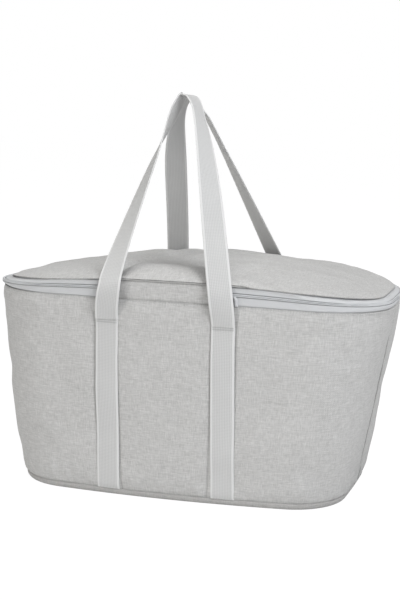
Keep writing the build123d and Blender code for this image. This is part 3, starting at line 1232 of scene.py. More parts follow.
@dataclass(frozen=True)
class TubCloth:
    """Two side panels, the base panel and the lapped end seams."""

    form: BagForm
    relief: Relief = Relief()
    cloth: float = 1.0 * MM
    strap_width: float = 25.8 * MM
    columns: int = 420
    rows: int = 96
    tuck: float = 1.0 * MM
    crease: float = 0.9 * MM
    creases_per_turn: float = 7.0
    crease_reach: float = 55 * MM
    strap_top: float = 192 * MM
    settling: Settling = Settling(cap=1.6 * MM)

    def panel_turns(self, side: Side) -> Array:
        """Turns of a side panel from one end seam to the other, spaced evenly by length.

        Args:
            side: which panel.
        Returns:
            One turn for each column.
        """
        middle = 0.0 if side is Side.HINGE else 2.0
        dense = np.linspace(middle - 1.0, middle + 1.0, 2400)
        line = self.form.wall(dense, 0.12)
        run = lengths_along(line)
        return np.interp(np.linspace(0, run[-1], self.columns), run, dense)

    def rise(self, side: Side, u: Array, v: Array, top: Array, half: float) -> Array:
        """Outward relief of a side panel.

        Args:
            side: which panel.
            u: length along the panel from its middle, positive towards turn's increase.
            v: height above the base seam.
            top: height of the rim seam above the base seam at the same place.
            half: length from the middle to the end seam.
        Returns:
            Relief in metres.
        """
        x = u if side is Side.HINGE else -u
        below, above, inward = top - v, v, half - np.abs(u)
        clear = np.minimum(np.minimum(below, above), inward)
        out = self.relief.field(x + 0.5 * (side is Side.OPENING), v, clear)
        out += self.relief.seam(below, u, 1) + 1.35 * self.relief.seam(above, u, 2)
        out += 0.9 * self.relief.seam(inward - 0.003, v, 3)
        out += self.pulls(side, x, v)
        right = smooth(0.04, 0.20, x)
        fine = soft_noise(u, 0.3 * v, 0.011, self.relief.seed + 3)
        out += 0.45 * MM * right * fine * bell(below, 0.012)
        return out * smooth(-0.001, 0.004, inward + 0.003)

    def pulls(self, side: Side, x: Array, v: Array) -> Array:
        """Tucks beside each strap and creases that fan out above its lower end.

        Args:
            side: which panel.
            x: place along the bag.
            v: height above the base seam.
        Returns:
            Relief in metres.
        """
        out = np.zeros(np.broadcast(x, v).shape)
        for k, at in enumerate(sewn_x(side, hand) for hand in Hand):
            beside = np.abs(np.abs(x - at) - self.strap_width / 2)
            upper = smooth(0.205, 0.180, v)
            out -= 0.55 * MM * bell(beside, 0.0022) * upper
            foot = bell(v, 0.016)
            out -= self.tuck * bell(beside, 0.004) * foot
            angle = np.arctan2(x - at, v + 0.012)
            reach = np.hypot(x - at, v + 0.012)
            fan = np.sin(angle * self.creases_per_turn + 1.3 * k) * bell(reach, self.crease_reach)
            out += self.crease * fan * smooth(0.010, 0.022, np.abs(x - at))
        return out

    def surface(self, side: Side) -> tuple[Array, Array, Array, Array]:
        """Cloth of a side panel: the smooth wall moved along its normals by relief and settling.

        Args:
            side: which panel.
        Returns:
            Outer grid, inner grid, surface coordinates and painted shade.
        """
        turns = self.panel_turns(side)
        rim = self.form.band(turns, 0.0)[:, 2]
        level = np.linspace(0, 1, self.rows)[:, None]
        level = level - 0.06 * np.sin(math.tau * level) / math.tau
        z = self.form.base_z + level * (rim[None] - self.form.base_z)
        grid = self.form.wall(turns, z)
        normal = grid_normals(grid)
        run = lengths_along(grid[self.rows // 2])
        u = np.broadcast_to(run - run[-1] / 2, z.shape)
        v = z - self.form.base_z
        out = self.rise(side, u, v, rim - self.form.base_z, run[-1] / 2)
        edge = np.minimum(np.minimum(v, rim[None] - z), run[-1] / 2 - np.abs(u))
        x = u if side is Side.HINGE else -u
        beside = np.min([np.abs(x - sewn_x(side, hand)) for hand in Hand], axis=0)
        strap = smooth(self.strap_width / 2 + 3 * MM, self.strap_width / 2, beside)
        held = np.maximum(smooth(0.006, 0.001, edge), strap * (v < self.strap_top))
        ends = run[-1] / 2 - np.abs(u)
        free = smooth(0.0, 0.012, edge) * (1 - strap) * (0.35 + 0.65 * smooth(0.02, 0.10, ends))
        out = out + self.settling.settle(grid, held) * free
        outer = grid + normal * out[..., None]
        inner = grid + normal * (np.maximum(out, 0.0) - self.cloth)[..., None]
        # Painted shade: thin dark lines along the base and rim seams, beside the end seams, and
        # along the straps' edges below the cross stitching.
        beside = np.abs(beside - self.strap_width / 2) + 0.1 * (v > 0.195)
        shade = (0.5 * bell(np.minimum(v, rim[None] - z), 1.2 * MM)
                 + 1.1 * bell(ends - 3.6 * MM, 2.0 * MM)
                 + 0.75 * bell(beside, 1.0 * MM))
        return outer, inner, stack(u, v), np.minimum(shade, 1.1)

    def strap_ground(self, side: Side, x: Array, z: Array) -> Array:
        """Panel surface under a strap: the long arc of the plan, with the slow relief.

        Args:
            side: which panel.
            x: place along the bag, within the long arc.
            z: height.
        Returns:
            Points of the panel.
        """
        share = self.form.depth_share(z)
        b = self.form.half_depth - self.form.side_bulge * share * np.abs(share)
        y = b - self.form.side_arc + np.sqrt(self.form.side_arc ** 2 - x ** 2)
        u = x if side is Side.HINGE else -x
        out = self.relief.field(x + 0.5 * (side is Side.OPENING), z - self.form.base_z,
                                np.minimum(z - self.form.base_z, self.form.rim_z - z))
        out += 0.3 * self.relief.seam(z - self.form.base_z, u, 2)
        return stack(x, side.value * (y + out), z)

    def build_panel(self, side: Side) -> Piece:
        """One side panel, from end seam to end seam.

        Args:
            side: which panel.
        Returns:
            The new piece.
        """
        outer, inner, coords, shade = self.surface(side)
        patch = shell(outer, inner, coords, shade)
        piece = seat(patch, f"side_cloth_{side.place}", BODY_CLOTH, f"outer_panel_{side.place}",
                     "tub")
        wide, high = spans(coords)
        round(sheet_area(outer), 4)
        return piece

    def base_rows(self, inside: float) -> tuple[Array, Array]:
        """Level and plan inset of each row of the base panel, from its seam to the floor.

        The edge is a quarter of an ellipse, tucked in by its width, then the floor.

        Args:
            inside: how far the row's face lies behind the outside.
        Returns:
            Height of each row, and how far in it lies.
        """
        angle = np.linspace(0, math.pi / 2, 14)
        wide, high = 6.0 * MM, self.form.base_z
        z = high - (high - inside) * np.sin(angle)
        inset = wide * (1 - np.cos(angle)) + inside * np.cos(angle)
        seam = 0.8 * MM * bell(high - z, 1.2 * MM)
        return z, inset + (seam if inside == 0 else 0)

    def base_face(self, inside: float, columns: int = 480) -> Array:
        """One face of the base panel: edge rows, then rings in to a line of centres.

        Args:
            inside: how far the face lies behind the outside.
            columns: points round each ring.
        Returns:
            Grid whose last row folds onto itself.
        """
        turns = round_turns(columns)
        ring = self.form.wall(turns, self.form.base_z)
        inward = unit(np.cross(UP, np.roll(ring, -1, 0) - np.roll(ring, 1, 0)))
        rows = []
        for level, shift in zip(*self.base_rows(inside)):
            rows.append(ring + inward * shift)
            rows[-1][:, 2] = level
        last = rows[-1]
        spine = stack(0.42 * last[:, 0], 0.0, last[:, 2])
        return np.stack(rows + [last + (spine - last) * t for t in np.linspace(0.06, 1.0, 16)])

    def build_base(self) -> Piece:
        """Base panel: its rounded edge and the floor of the bag, as one closed sheet.

        Returns:
            The new piece.
        """
        outer, inner = self.base_face(0.0), self.base_face(self.cloth)
        outer[..., 2] = np.maximum(outer[..., 2], 0.0)
        run = lengths_along(outer[0])
        on_floor = (np.arange(len(outer)) >= 13)[:, None, None]
        coords = np.where(on_floor, outer[..., :2], stack(run, -lengths_along(outer)))
        patch = shell(outer, inner, coords, closed=True)
        piece = seat(patch, "base_cloth", BASE_CLOTH_PAINTED_SHADE, "base_panel", "tub", SEAM_WELD)
        cut_size(outer, 0.012)
        round(sheet_area(outer, closed=True), 4)
        return piece

    def build_end_seam(self, hand: Hand) -> Piece:
        """Lapped strip down the middle of one end, with its row of stitches.

        Args:
            hand: which end.
        Returns:
            The new piece.
        """
        turn = 1.0 if hand is Hand.RIGHT else 3.0
        wide, thick = 6.0 * MM, 1.1 * MM
        v = np.linspace(0, 1, 90)[:, None]
        across = np.linspace(-1, 1, 15)
        low, top = self.form.base_z + 0.3 * MM, self.form.rim_z - self.form.rim_drop - 0.4 * MM
        z = np.repeat(low + v * (top - low), 15, axis=1)
        ground = self.form.wall(turn, z)
        ground[..., 1] = across * wide / 2 * hand.value
        edge = np.sqrt(np.clip(1 - np.abs(across) ** 6, 0, 1)) * thick
        ruck = 0.15 * MM * soft_noise(0.3 * across, z, 0.016, 12)
        outer, inner = ground.copy(), ground.copy()
        outer[..., 0] += hand.value * (edge + ruck + 0.1 * MM)
        inner[..., 0] -= hand.value * 0.5 * MM
        coords = stack(across * wide / 2, z)
        # Painted shade on the strip's two side walls.
        patch = shell(outer, inner, coords, 1.1 * smooth(0.70, 0.95, np.abs(across)))
        return seat(patch, f"end_seam_cloth_{hand.word}", BODY_CLOTH, f"end_seam_{hand.word}",
                    "tub")


# ---- webbing
@dataclass(frozen=True)
class WebProfile:
    """Cross-section of webbing: flat, with rounded selvedges and a shallow groove inside each."""

    width: float = 25.8 * MM
    thickness: float = 1.6 * MM
    selvedge: float = 2.2 * MM
    groove: float = 0.28 * MM
    samples: int = 21

    def outline(self) -> tuple[Array, Array]:
        """Offsets across and through the webbing, round the section, starting at one edge.

        Returns:
            Offsets across, and offsets through.
        """
        t = np.linspace(-1, 1, self.samples)
        across = np.sin(t * math.pi / 2)
        across = (0.55 * across + 0.45 * t) * self.width / 2
        inside = self.width / 2 - np.abs(across)
        half = self.thickness / 2 * np.sqrt(np.clip(inside / (0.9 * MM), 0.02, 1))
        half -= self.groove * bell(inside - self.selvedge, 0.55 * MM)
        x = np.concatenate([across, across[::-1]])
        y = np.concatenate([-half, half[::-1]])
        return x, y

    def sweep(self, centre: Array, wide: Array, facing: Array,
              start: float) -> tuple[Patch, float]:
        """Webbing along a line.

        Args:
            centre: points of the centreline.
            wide: unit vectors across the webbing.
            facing: unit vectors out of its face.
            start: length along the webbing at the first point, for its surface coordinates.
        Returns:
            A patch that holds the webbing, and its length.
        """
        x, y = self.outline()
        rings = centre[:, None] + wide[:, None] * x[:, None] + facing[:, None] * y[:, None]
        run = lengths_along(centre)
        return tube(rings, stack(x, start + run[:, None])), float(run[-1])


def bezier(points: Sequence[Array], t: Array) -> Array:
    """Points of a cubic Bezier curve.

    Args:
        points: its four control points.
        t: 0 at the first point, 1 at the last.
    Returns:
        One point for each t.
    """
    a, b, c, d = (np.asarray(p, float)[None] for p in points)
    t = t[:, None]
    return (1 - t) ** 3 * a + 3 * (1 - t) ** 2 * t * b + 3 * (1 - t) * t * t * c + t ** 3 * d


@dataclass(frozen=True)
class Leg:
    """One leg of a handle, from the fold up to the top.

    Millimetres, all inwards or upwards; turns are degrees of twist at the stations before the top.
    """

    sewn_x: float
    foot_x: float
    foot_y: float
    lean_x: float
    lean_y: float
    lift: float
    top_pull: float
    turns: tuple[float, float, float, float, float]


@dataclass(frozen=True)
class HandleShape:
    """Two legs that meet at a top point, in millimetres.

    At the top the webbing runs at a bearing from the bag's length, and has turned by turn degrees.
    """

    top: tuple[float, float, float]
    bearing: float
    turn: float
    left: Leg
    right: Leg
    foot_z: float = 240.0

    def leg(self, hand: Hand) -> Leg:
        """The leg on one hand."""
        return self.left if hand is Hand.LEFT else self.right


HANDLES = {
    Side.HINGE: HandleShape(
        (-13.4, -24.0, 431.9), -7.2, 97.0,
        Leg(-67.2, -62.1, 127.0, -1.4, 10.0, 13.8, 10.2, (5.8, 41.0, 64.0, 98.4, 97.4)),
        Leg(61.5, 57.7, 127.0, 31.7, 44.6, 165.1, 17.6, (20.0, 60.7, 87.4, 88.6, 87.7))),
    Side.OPENING: HandleShape(
        (-11.5, 6.0, 427.7), -7.2, 84.0,
        Leg(-64.0, -66.7, 129.1, 17.0, 59.6, 109.5, 35.3, (19.8, 24.2, 66.3, 82.0, 83.7)),
        Leg(64.0, 53.6, 129.0, 10.0, 52.0, 50.0, 7.0, (28.9, 48.1, 61.7, 63.0, 84.1))),
}
STATIONS = (0.0, 0.35, 0.60, 0.78, 0.90, 1.0)


def sewn_x(side: Side, hand: Hand) -> float:
    """Place along the bag at which a strap is sewn."""
    return HANDLES[side].leg(hand).sewn_x * MM


@dataclass(frozen=True)
class Handles:
    """Straps sewn up the sides, their free lower ends, and the loops that stand up from them."""

    tub: TubCloth
    web: WebProfile = WebProfile()
    stitch_z: float = 196.0 * MM
    # How far below the stitching the two bands of painted shade lie.
    stitch_shade_down: tuple[float, float] = (0.8 * MM, 3.0 * MM)
    flare: float = 0.30
    loop_start: float = 50 * MM
    fold_y: float = 133.6 * MM
    fold_z: tuple[float, float] = (0.240, 0.258)
    root_y: float = 125.8 * MM
    root_z: tuple[float, float] = (0.196, 0.215)

    def leg_line(self, side: Side, hand: Hand, samples: int = 150
                 ) -> tuple[Array, Array, Array]:
        """Line of one leg from fold to top: a Bezier curve and the webbing's twist along it.

        The webbing starts flat to the bag's side and turns on its way up, so that its edge points
        up at the top.

        Args:
            side, hand: which leg.
            samples: points along it.
        Returns:
            Centreline, vectors across the webbing, and vectors out of its face.
        """
        shape = HANDLES[side]
        leg = shape.leg(hand)
        start = np.array([leg.foot_x, side.value * leg.foot_y, shape.foot_z])
        top = np.array(shape.top)
        first = start + np.array([-hand.value * leg.lean_x, -side.value * leg.lean_y, leg.lift])
        bearing = math.radians(shape.bearing)
        along = np.array([math.cos(bearing), math.sin(bearing), 0.0])
        second = top + hand.value * leg.top_pull * along
        t = np.linspace(0, 1, samples)
        centre = bezier((start, first, second, top), t) * MM
        tangent = unit(np.gradient(centre, axis=0))
        level = unit(stack(tangent[:, 2], 0.0, -tangent[:, 0]))
        deep = unit(np.cross(tangent, level))
        deep *= np.where(deep[:, 1:2] < 0, -1.0, 1.0)
        stops = np.radians((*leg.turns, shape.turn))
        spread = 0.2 * t * (1 - t)
        turned = np.mean([np.interp(t + k * spread, STATIONS, stops)
                          for k in np.linspace(-1, 1, 9)], axis=0)
        lean = -side.value * hand.value
        wide = np.cos(turned)[:, None] * level + lean * np.sin(turned)[:, None] * deep
        wide = square_to(wide, tangent)
        return centre, wide, unit(np.cross(wide, tangent))

    def root_line(self, side: Side, hand: Hand, samples: int = 36
                  ) -> tuple[Array, Array, Array]:
        """Line of the free strap between its cross stitching and the fold, a Bezier curve.

        Args:
            side, hand: which strap.
            samples: points along it.
        Returns:
            Centreline, vectors across the webbing, and vectors out of its face.
        """
        loop, wide, _ = self.leg_line(side, hand)
        x = sewn_x(side, hand)
        ground = self.tub.strap_ground(side, np.array([x]), np.array([self.stitch_z]))[0]
        start = ground + np.array([0, side.value * self.web.thickness / 2, 0])
        rise = unit(loop[1] - loop[0])
        reach = 0.36 * float(np.linalg.norm(loop[0] - start))
        up = unit(np.array([0, side.value * self.flare, 1.0]))
        t = np.linspace(0, 1, samples)
        centre = bezier((start, start + up * reach, loop[0] - rise * reach, loop[0]), t)
        tangent = unit(np.gradient(centre, axis=0))
        tangent[-1] = rise
        share = smooth(0, 1, t)[:, None]
        across = np.array([1.0, 0, 0]) * (1 - share) + wide[0] * share
        across = square_to(across, tangent)
        return centre, across, unit(np.cross(across, tangent))

    def build_loop(self, side: Side) -> Piece:
        """One handle: both of its legs as one length of webbing.

        Args:
            side: which handle.
        Returns:
            The new piece.
        """
        left, left_wide, _ = self.leg_line(side, Hand.LEFT)
        right, right_wide, _ = self.leg_line(side, Hand.RIGHT)
        if float(left_wide[-1] @ right_wide[-1]) < 0:
            right_wide = -right_wide
        centre = np.concatenate([left, right[-2::-1]])
        wide = np.concatenate([left_wide, right_wide[-2::-1]])
        tangent = unit(np.gradient(centre, axis=0))
        wide = square_to(wide, tangent)
        patch, length = self.web.sweep(centre, wide, unit(np.cross(wide, tangent)),
                                       self.loop_start)
        piece = seat(patch, f"handle_web_{side.place}", STRAP_CLOTH, f"handle_{side.place}",
                     None, WELD)
        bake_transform(piece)
        return piece

    def build_root(self, side: Side, hand: Hand) -> Piece:
        """Free strap between the stitching and the fold.

        Args:
            side, hand: which strap.
        Returns:
            The new piece.
        """
        patch, length = self.web.sweep(*self.root_line(side, hand), 0.0)
        piece = seat(patch, f"root_web_{side.place}_{hand.word}", STRAP_CLOTH,
                     f"strap_root_{side.place}_{hand.word}", None, WELD)
        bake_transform(piece)
        return piece

    def build_sewn(self, side: Side, hand: Hand) -> Piece:
        """Strap sewn flat to the side panel, from the base seam to the cross stitching.

        Args:
            side, hand: which strap.
        Returns:
            The new piece.
        """
        x0, low = sewn_x(side, hand), self.tub.form.base_z
        offset, depth = self.web.outline()
        z = np.concatenate([np.linspace(low + 0.2 * MM, self.stitch_z - 7.0 * MM, 104),
                            np.linspace(self.stitch_z - 6.7 * MM, self.stitch_z, 24)])[:, None]
        ground = self.tub.strap_ground(side, x0 + offset[None], z)
        middle = self.web.thickness / 2
        foot = 0.9 * MM * bell(z - low, 2.5 * MM)
        lift = np.maximum(depth[None] + middle - foot, -0.25 * MM)
        ground[..., 1] += side.value * lift
        run = z - low
        coords = stack(offset, -run)
        # Painted shade in two thin bands across the strap at its cross stitching.
        stitch_painted_shade = sum(bell(self.stitch_z - z - down, 0.7 * MM)
                     for down in self.stitch_shade_down)
        within = smooth(12.2 * MM, 11.2 * MM, np.abs(offset))[None]
        patch = tube(ground, coords, 0.6 * stitch_painted_shade * within)
        piece = seat(patch, f"sewn_web_{side.place}_{hand.word}", STRAP_CLOTH,
                     f"sewn_strap_{side.place}_{hand.word}", "tub", WELD)
        return piece


# ---- zip band
@dataclass(frozen=True)
class Run:
    """Turns from one end of the zip to the other, with lengths measured along the rim."""

    form: BagForm
    hinge_half: float = 71.0 * MM
    step: float = 2.0 * MM

    def turns(self) -> Array:
        """Turns from the right end of the hinge, round the opening side, to its left end.

        Returns:
            One turn for each step of length.
        """
        first = self.form.turn_at(self.hinge_half)
        dense = np.linspace(first, 4 - first, 4000)
        line = self.form.band(dense, 0.5)
        run = lengths_along(line)
        count = int(run[-1] / self.step)
        return np.interp(np.linspace(0, run[-1], count), run, dense)

    def hinge_turns(self, margin: float = 0.0) -> Array:
        """Turns across the hinge, from its left end to its right end."""
        first = self.form.turn_at(self.hinge_half - margin)
        return np.linspace(-first, first, 120)


def strip(form: BagForm, turns: Array, rises: Array, out: Array,
          thick: float) -> tuple[Array, Array, Array]:
    """Cloth on the band, moved outwards by its relief.

    Args:
        form: the bag's form.
        turns: places round the bag, one per column.
        rises: places between the rim seam and the lid seam, one per row.
        out: relief outwards, rows by columns.
        thick: thickness of the cloth.
    Returns:
        Outer grid, inner grid and surface coordinates.
    """
    grid = form.band(turns, rises[:, None])
    normal = grid_normals(grid)
    run = lengths_along(grid[len(rises) // 2])
    back = (np.minimum(out, 0) - thick)[..., None]
    coords = stack(run - run[-1] / 2, lengths_along(grid))
    return grid + normal * out[..., None], grid + normal * back, coords


@dataclass(frozen=True)
class ZipBand:
    """Zip tapes, coil, end tabs and the fabric hinge between the zip's two ends."""

    form: BagForm
    tape: float = 0.8 * MM
    chain_rise: float = 0.597
    row: float = 1.5 * MM
    row_gap: float = 0.12 * MM
    post_gap: float = 0.5 * MM
    pitch: float = 1.25 * MM
    coil_out: float = 1.35 * MM
    step: float = 1.25 * MM / 4
    hinge_y: float = 124.7 * MM

    def tape_relief(self, turns: Array, rises: Array, seam: float, seed: int,
                    wave: float) -> Array:
        """Relief of a tape: it dips into its seam and waves a little along its length.

        Args:
            turns, rises: places of the columns and rows.
            seam: rise at which the tape is sewn.
            seed: picks the waves.
            wave: how high they are.
        Returns:
            Relief in metres, rows by columns.
        """
        run = turns * 0.30
        away = np.abs(rises - seam)[:, None] * BAND_HEIGHT
        dip = -0.75 * MM * bell(away, 1.3 * MM)
        right = smooth(0.25, 0.6, turns) * smooth(1.6, 1.1, turns)
        waves = soft_noise(run, away * 0.5, 0.020, seed) * wave * (0.4 + 0.9 * right)
        return dip + waves * smooth(0, 0.004, away)

    def build_tape(self, body: str) -> Piece:
        """Tape of the tub or of the lid, from its seam to the coil.

        Args:
            body: "tub" or "lid".
        Returns:
            The new piece.
        """
        turns = Run(self.form).turns()
        half = (self.row + self.row_gap) / BAND_HEIGHT
        if body == "tub":
            rises = np.linspace(0.0, self.chain_rise - 0.02, 40)
            node, seam, seed = "zip_tape_body", 0.0, 41
            hold = ["side_cloth_hinge_side", "side_cloth_opening_side"]
            tabs = [f"zip_end_tab_cloth_{hand.word}" for hand in Hand]
        else:
            rises = np.linspace(self.chain_rise + 0.02, 1.0, 30)
            node, seam, seed, hold, tabs = "zip_tape_lid", 1.0, 47, ["lid_cloth"], []
        out = self.tape_relief(turns, rises, seam, seed, 0.35 * MM)
        near = np.abs(rises - self.chain_rise)[:, None]
        out = out * smooth(half * 0.8, half * 2.4, near)
        out = out - 0.10 * MM - 0.60 * MM * smooth(half * 1.6, half * 1.15, near)
        outer, inner, coords = strip(self.form, turns, rises, out, self.tape)
        # Painted shade: dark lines along the tape's seam and beside the coil.
        down = np.abs(rises - seam)[:, None] * BAND_HEIGHT
        shade = bell(down, 0.9 * MM) + bell((near - half) * BAND_HEIGHT, 0.7 * MM)
        patch = shell(outer, inner, coords, np.minimum(shade, 1))
        piece = seat(patch, f"{node}_cloth", ZIP_CLOTH, node, body)
        wide, high = spans(coords)
        round(min(sheet_area(outer), wide * high), 5)
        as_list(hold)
        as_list(tabs)
        return piece

    def build_coil(self, body: str) -> Piece:
        """One row of the coil: a rounded ridge that swells at every tooth.

        Args:
            body: "tub" or "lid".
        Returns:
            The new piece.
        """
        turns = Run(self.form, step=self.step).turns()
        grid0 = self.form.band(turns, self.chain_rise)
        run = lengths_along(grid0)
        node, sign, phase = (("zip_teeth_body", -1.0, 0.0) if body == "tub"
                             else ("zip_teeth_lid", 1.0, 0.5))
        tooth = 0.5 + 0.5 * np.cos((run / self.pitch + phase) * math.tau)
        front = smooth(0.078, 0.060, np.abs(grid0[:, 0])) * (grid0[:, 1] > 0)
        gap = self.row_gap + (self.post_gap - self.row_gap) * front
        angle = np.linspace(0, math.tau, 10, endpoint=False)
        tall = (self.row - gap)[:, None] * (0.90 + 0.10 * tooth[:, None])
        across = gap[:, None] + tall * (0.5 - 0.5 * np.cos(angle))
        swell = self.coil_out * (0.62 + 0.38 * tooth)[:, None]
        lift = np.sin(angle) * np.where(np.sin(angle) > 0, 1.0, 0.3) * swell
        spot = self.form.band(turns[:, None], self.chain_rise + sign * across / BAND_HEIGHT)
        tangent = unit(np.gradient(grid0, axis=0))
        up = self.form.band(turns, self.chain_rise + 0.1) - grid0
        facing = unit(np.cross(tangent, unit(up)))
        rings = spot + facing[:, None] * lift[..., None]
        if sign > 0:
            rings = rings[:, ::-1]
        coords = stack(run[:, None], across)
        patch = tube(rings, coords)
        return seat(patch, f"{node}_coil", COIL_NYLON, node, body, WELD)

    def build_tab(self, hand: Hand) -> Piece:
        """Folded tab over one end of the zip: a flat loop of cloth, thick at its fold.

        Args:
            hand: which end of the zip.
        Returns:
            The new piece.
        """
        x0 = hand.value * (Run(self.form).hinge_half + 2.0 * MM)
        rise = np.linspace(-0.02, 0.54, 40)
        across = np.linspace(-1, 1, 13)
        angle = across * math.pi / 2
        width = 4.2 * MM
        turn = np.array([self.form.turn_at(x0 + a * width / 2) for a in across])
        grid = self.form.band(turn, rise[:, None])
        normal = grid_normals(grid)
        lump = 0.15 * MM * soft_noise(rise[:, None], across * 0.1, 0.2, 3 + hand.value)
        height = (0.3 + 1.8 * np.cos(angle)[None] ** 0.6) * MM + lump
        ends = np.sqrt(np.clip(1 - (2 * (rise - rise[0]) / np.ptp(rise) - 1) ** 10, 0, 1))[:, None]
        outer = grid + normal * (height * ends - 0.1 * MM)[..., None]
        inner = grid - normal * 0.5 * MM
        run = lengths_along(grid)
        coords = stack(across[None] * width / 2, run)
        patch = shell(outer, inner, coords)
        return seat(patch, f"zip_end_tab_cloth_{hand.word}", ZIP_CLOTH,
                    f"zip_end_tab_{hand.word}", "tub")

    def build_hinge(self) -> Piece:
        """Cloth hinge between the two ends of the zip, from the rim seam to the lid seam.

        Returns:
            The new piece.
        """
        turns = Run(self.form).hinge_turns()
        rises = np.linspace(0.0, 1.0, 34)
        x = self.form.band(turns, rises[:, None])[..., 0]
        low, high = rises[:, None] * BAND_HEIGHT, (1 - rises[:, None]) * BAND_HEIGHT
        bow = 0.8 + 0.35 * soft_noise(x, low, 0.05, 9)
        out = (MM * np.sin(math.pi * rises)[:, None] * bow
               - 0.8 * MM * bell(low, 1.4 * MM) - 0.9 * MM * bell(high, 1.5 * MM))
        out += 0.25 * MM * soft_noise(x, low * 0.3, 0.014, 17) * bell(low, 0.008)
        edge = smooth(0.0, 0.004, Run(self.form).hinge_half - np.abs(x))
        out = out * edge - 0.15 * MM * (1 - edge)
        outer, inner, coords = strip(self.form, turns, rises, out, 1.0 * MM)
        # Painted shade along the hinge's lid seam and rim seam.
        shade = 0.35 * bell(high, 0.9 * MM) + 0.3 * bell(low, 0.9 * MM)
        patch = shell(outer, inner, coords, shade)
        piece = seat(patch, "hinge_cloth", BODY_CLOTH, "hinge_band", None)
        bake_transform(piece)
        across, along = spans(coords)
        return piece


# ---- lid
@dataclass(frozen=True)
class LidForm:
    """Padded lid: a rolled edge over its seam, then a low dome to a line of centres."""

    form: BagForm
    edge: float = 2.3 * MM
    crown: float = 12.6 * MM
    roll: float = 7.5 * MM
    spine: float = 0.42
    columns: int = 520
    rows: int = 77
    cloth: float = 1.0 * MM

    def inward(self) -> Array:
        """Share of the way in at each row: close at the rolled edge, wider over the dome."""
        t = np.linspace(0, 1, self.rows)
        return 0.35 * t ** 2 + 0.65 * t ** 1.25

    def dome(self, x: Array, y: Array) -> Array:
        """Height of the smooth dome over the seam's own height: 1 minus powers of x and y.

        Args:
            x, y: place on the lid.
        Returns:
            Height in metres.
        """
        a, b = self.form.seam_end()
        full = 2.2 + 1.6 * smooth(0.095, 0.060, np.abs(x)) * (y < 0)
        share = (1 - (x / a) ** 2) * (1 - np.clip(np.abs(y / b), 0, 1) ** full)
        crown = self.crown + 2.2 * MM * bell(x - 0.085, 0.05)
        crown = crown - 4.5 * MM * smooth(0.06, 0.17, -x) - 2.0 * MM * smooth(0.13, 0.19, x)
        return crown * np.clip(share, 0, 1)

    def bow(self, x: Array) -> Array:
        """Height of the lid seam at x."""
        return self.form.lid_z - self.form.lid_drop * (x / self.form.half_length) ** 2

    def grid(self) -> tuple[Array, Array]:
        """Smooth outside of the lid, rows from the seam inwards.

        The first rows rise as the quarter of an ellipse, bulging past the seam, before the dome
        takes over.

        Returns:
            Points, and the distance of each one from the seam.
        """
        seam = self.form.band(round_turns(self.columns), 1.0)
        tangent = np.roll(seam, -1, 0) - np.roll(seam, 1, 0)
        outward = unit(np.cross(tangent, UP))
        centre = seam * np.array([self.spine, 0, 0])
        w = self.inward()[:, None, None]
        flat = seam + (centre - seam) * w
        away = lengths_along(flat * np.array([1, 1, 0]))
        rolled = np.sqrt(np.clip(1 - (1 - np.clip(away / self.roll, 0, 1)) ** 2, 0, 1))
        own = (seam[:, 2] - self.bow(seam[:, 0])) * (1 - w[..., 0]) ** 2
        z = self.bow(flat[..., 0]) + own
        front = smooth(0.100, 0.075, np.abs(seam[:, 0])) * (seam[:, 1] < 0)
        stand = 0.4 + (0.75 * front - 0.15) * (1 - w[..., 0]) ** 2
        z = z + stand * self.edge * rolled + self.dome(flat[..., 0], flat[..., 1])
        bulge = 0.5 * MM * front * bell(away - 0.0022, 0.0030) * smooth(0, 0.001, away)
        flat = flat + outward * bulge[..., None]
        flat[..., 2] = z
        return flat, away


@dataclass(frozen=True)
class Crease:
    """A fold in the lid that runs along a curve of three points, in millimetres."""

    path: tuple[tuple[float, float], tuple[float, float], tuple[float, float]]
    depth: float
    width: float

    def press(self, x: Array, y: Array) -> Array:
        """How far down the crease presses the cloth: a bell across it, fading out along it.

        Args:
            x, y: place on the lid.
        Returns:
            Depth in metres.
        """
        t = np.linspace(0, 1, 60)[:, None]
        a, b, c = (np.array(p) * MM for p in self.path)
        line = (1 - t) ** 2 * a + 2 * t * (1 - t) * b + t * t * c
        spots = stack(x, y)[..., None, :]
        distance = np.linalg.norm(spots - line, axis=-1)
        fade = (1 - t[:, 0])[distance.argmin(-1)] ** 0.8
        return self.depth * MM * fade * bell(distance.min(-1), self.width * MM)


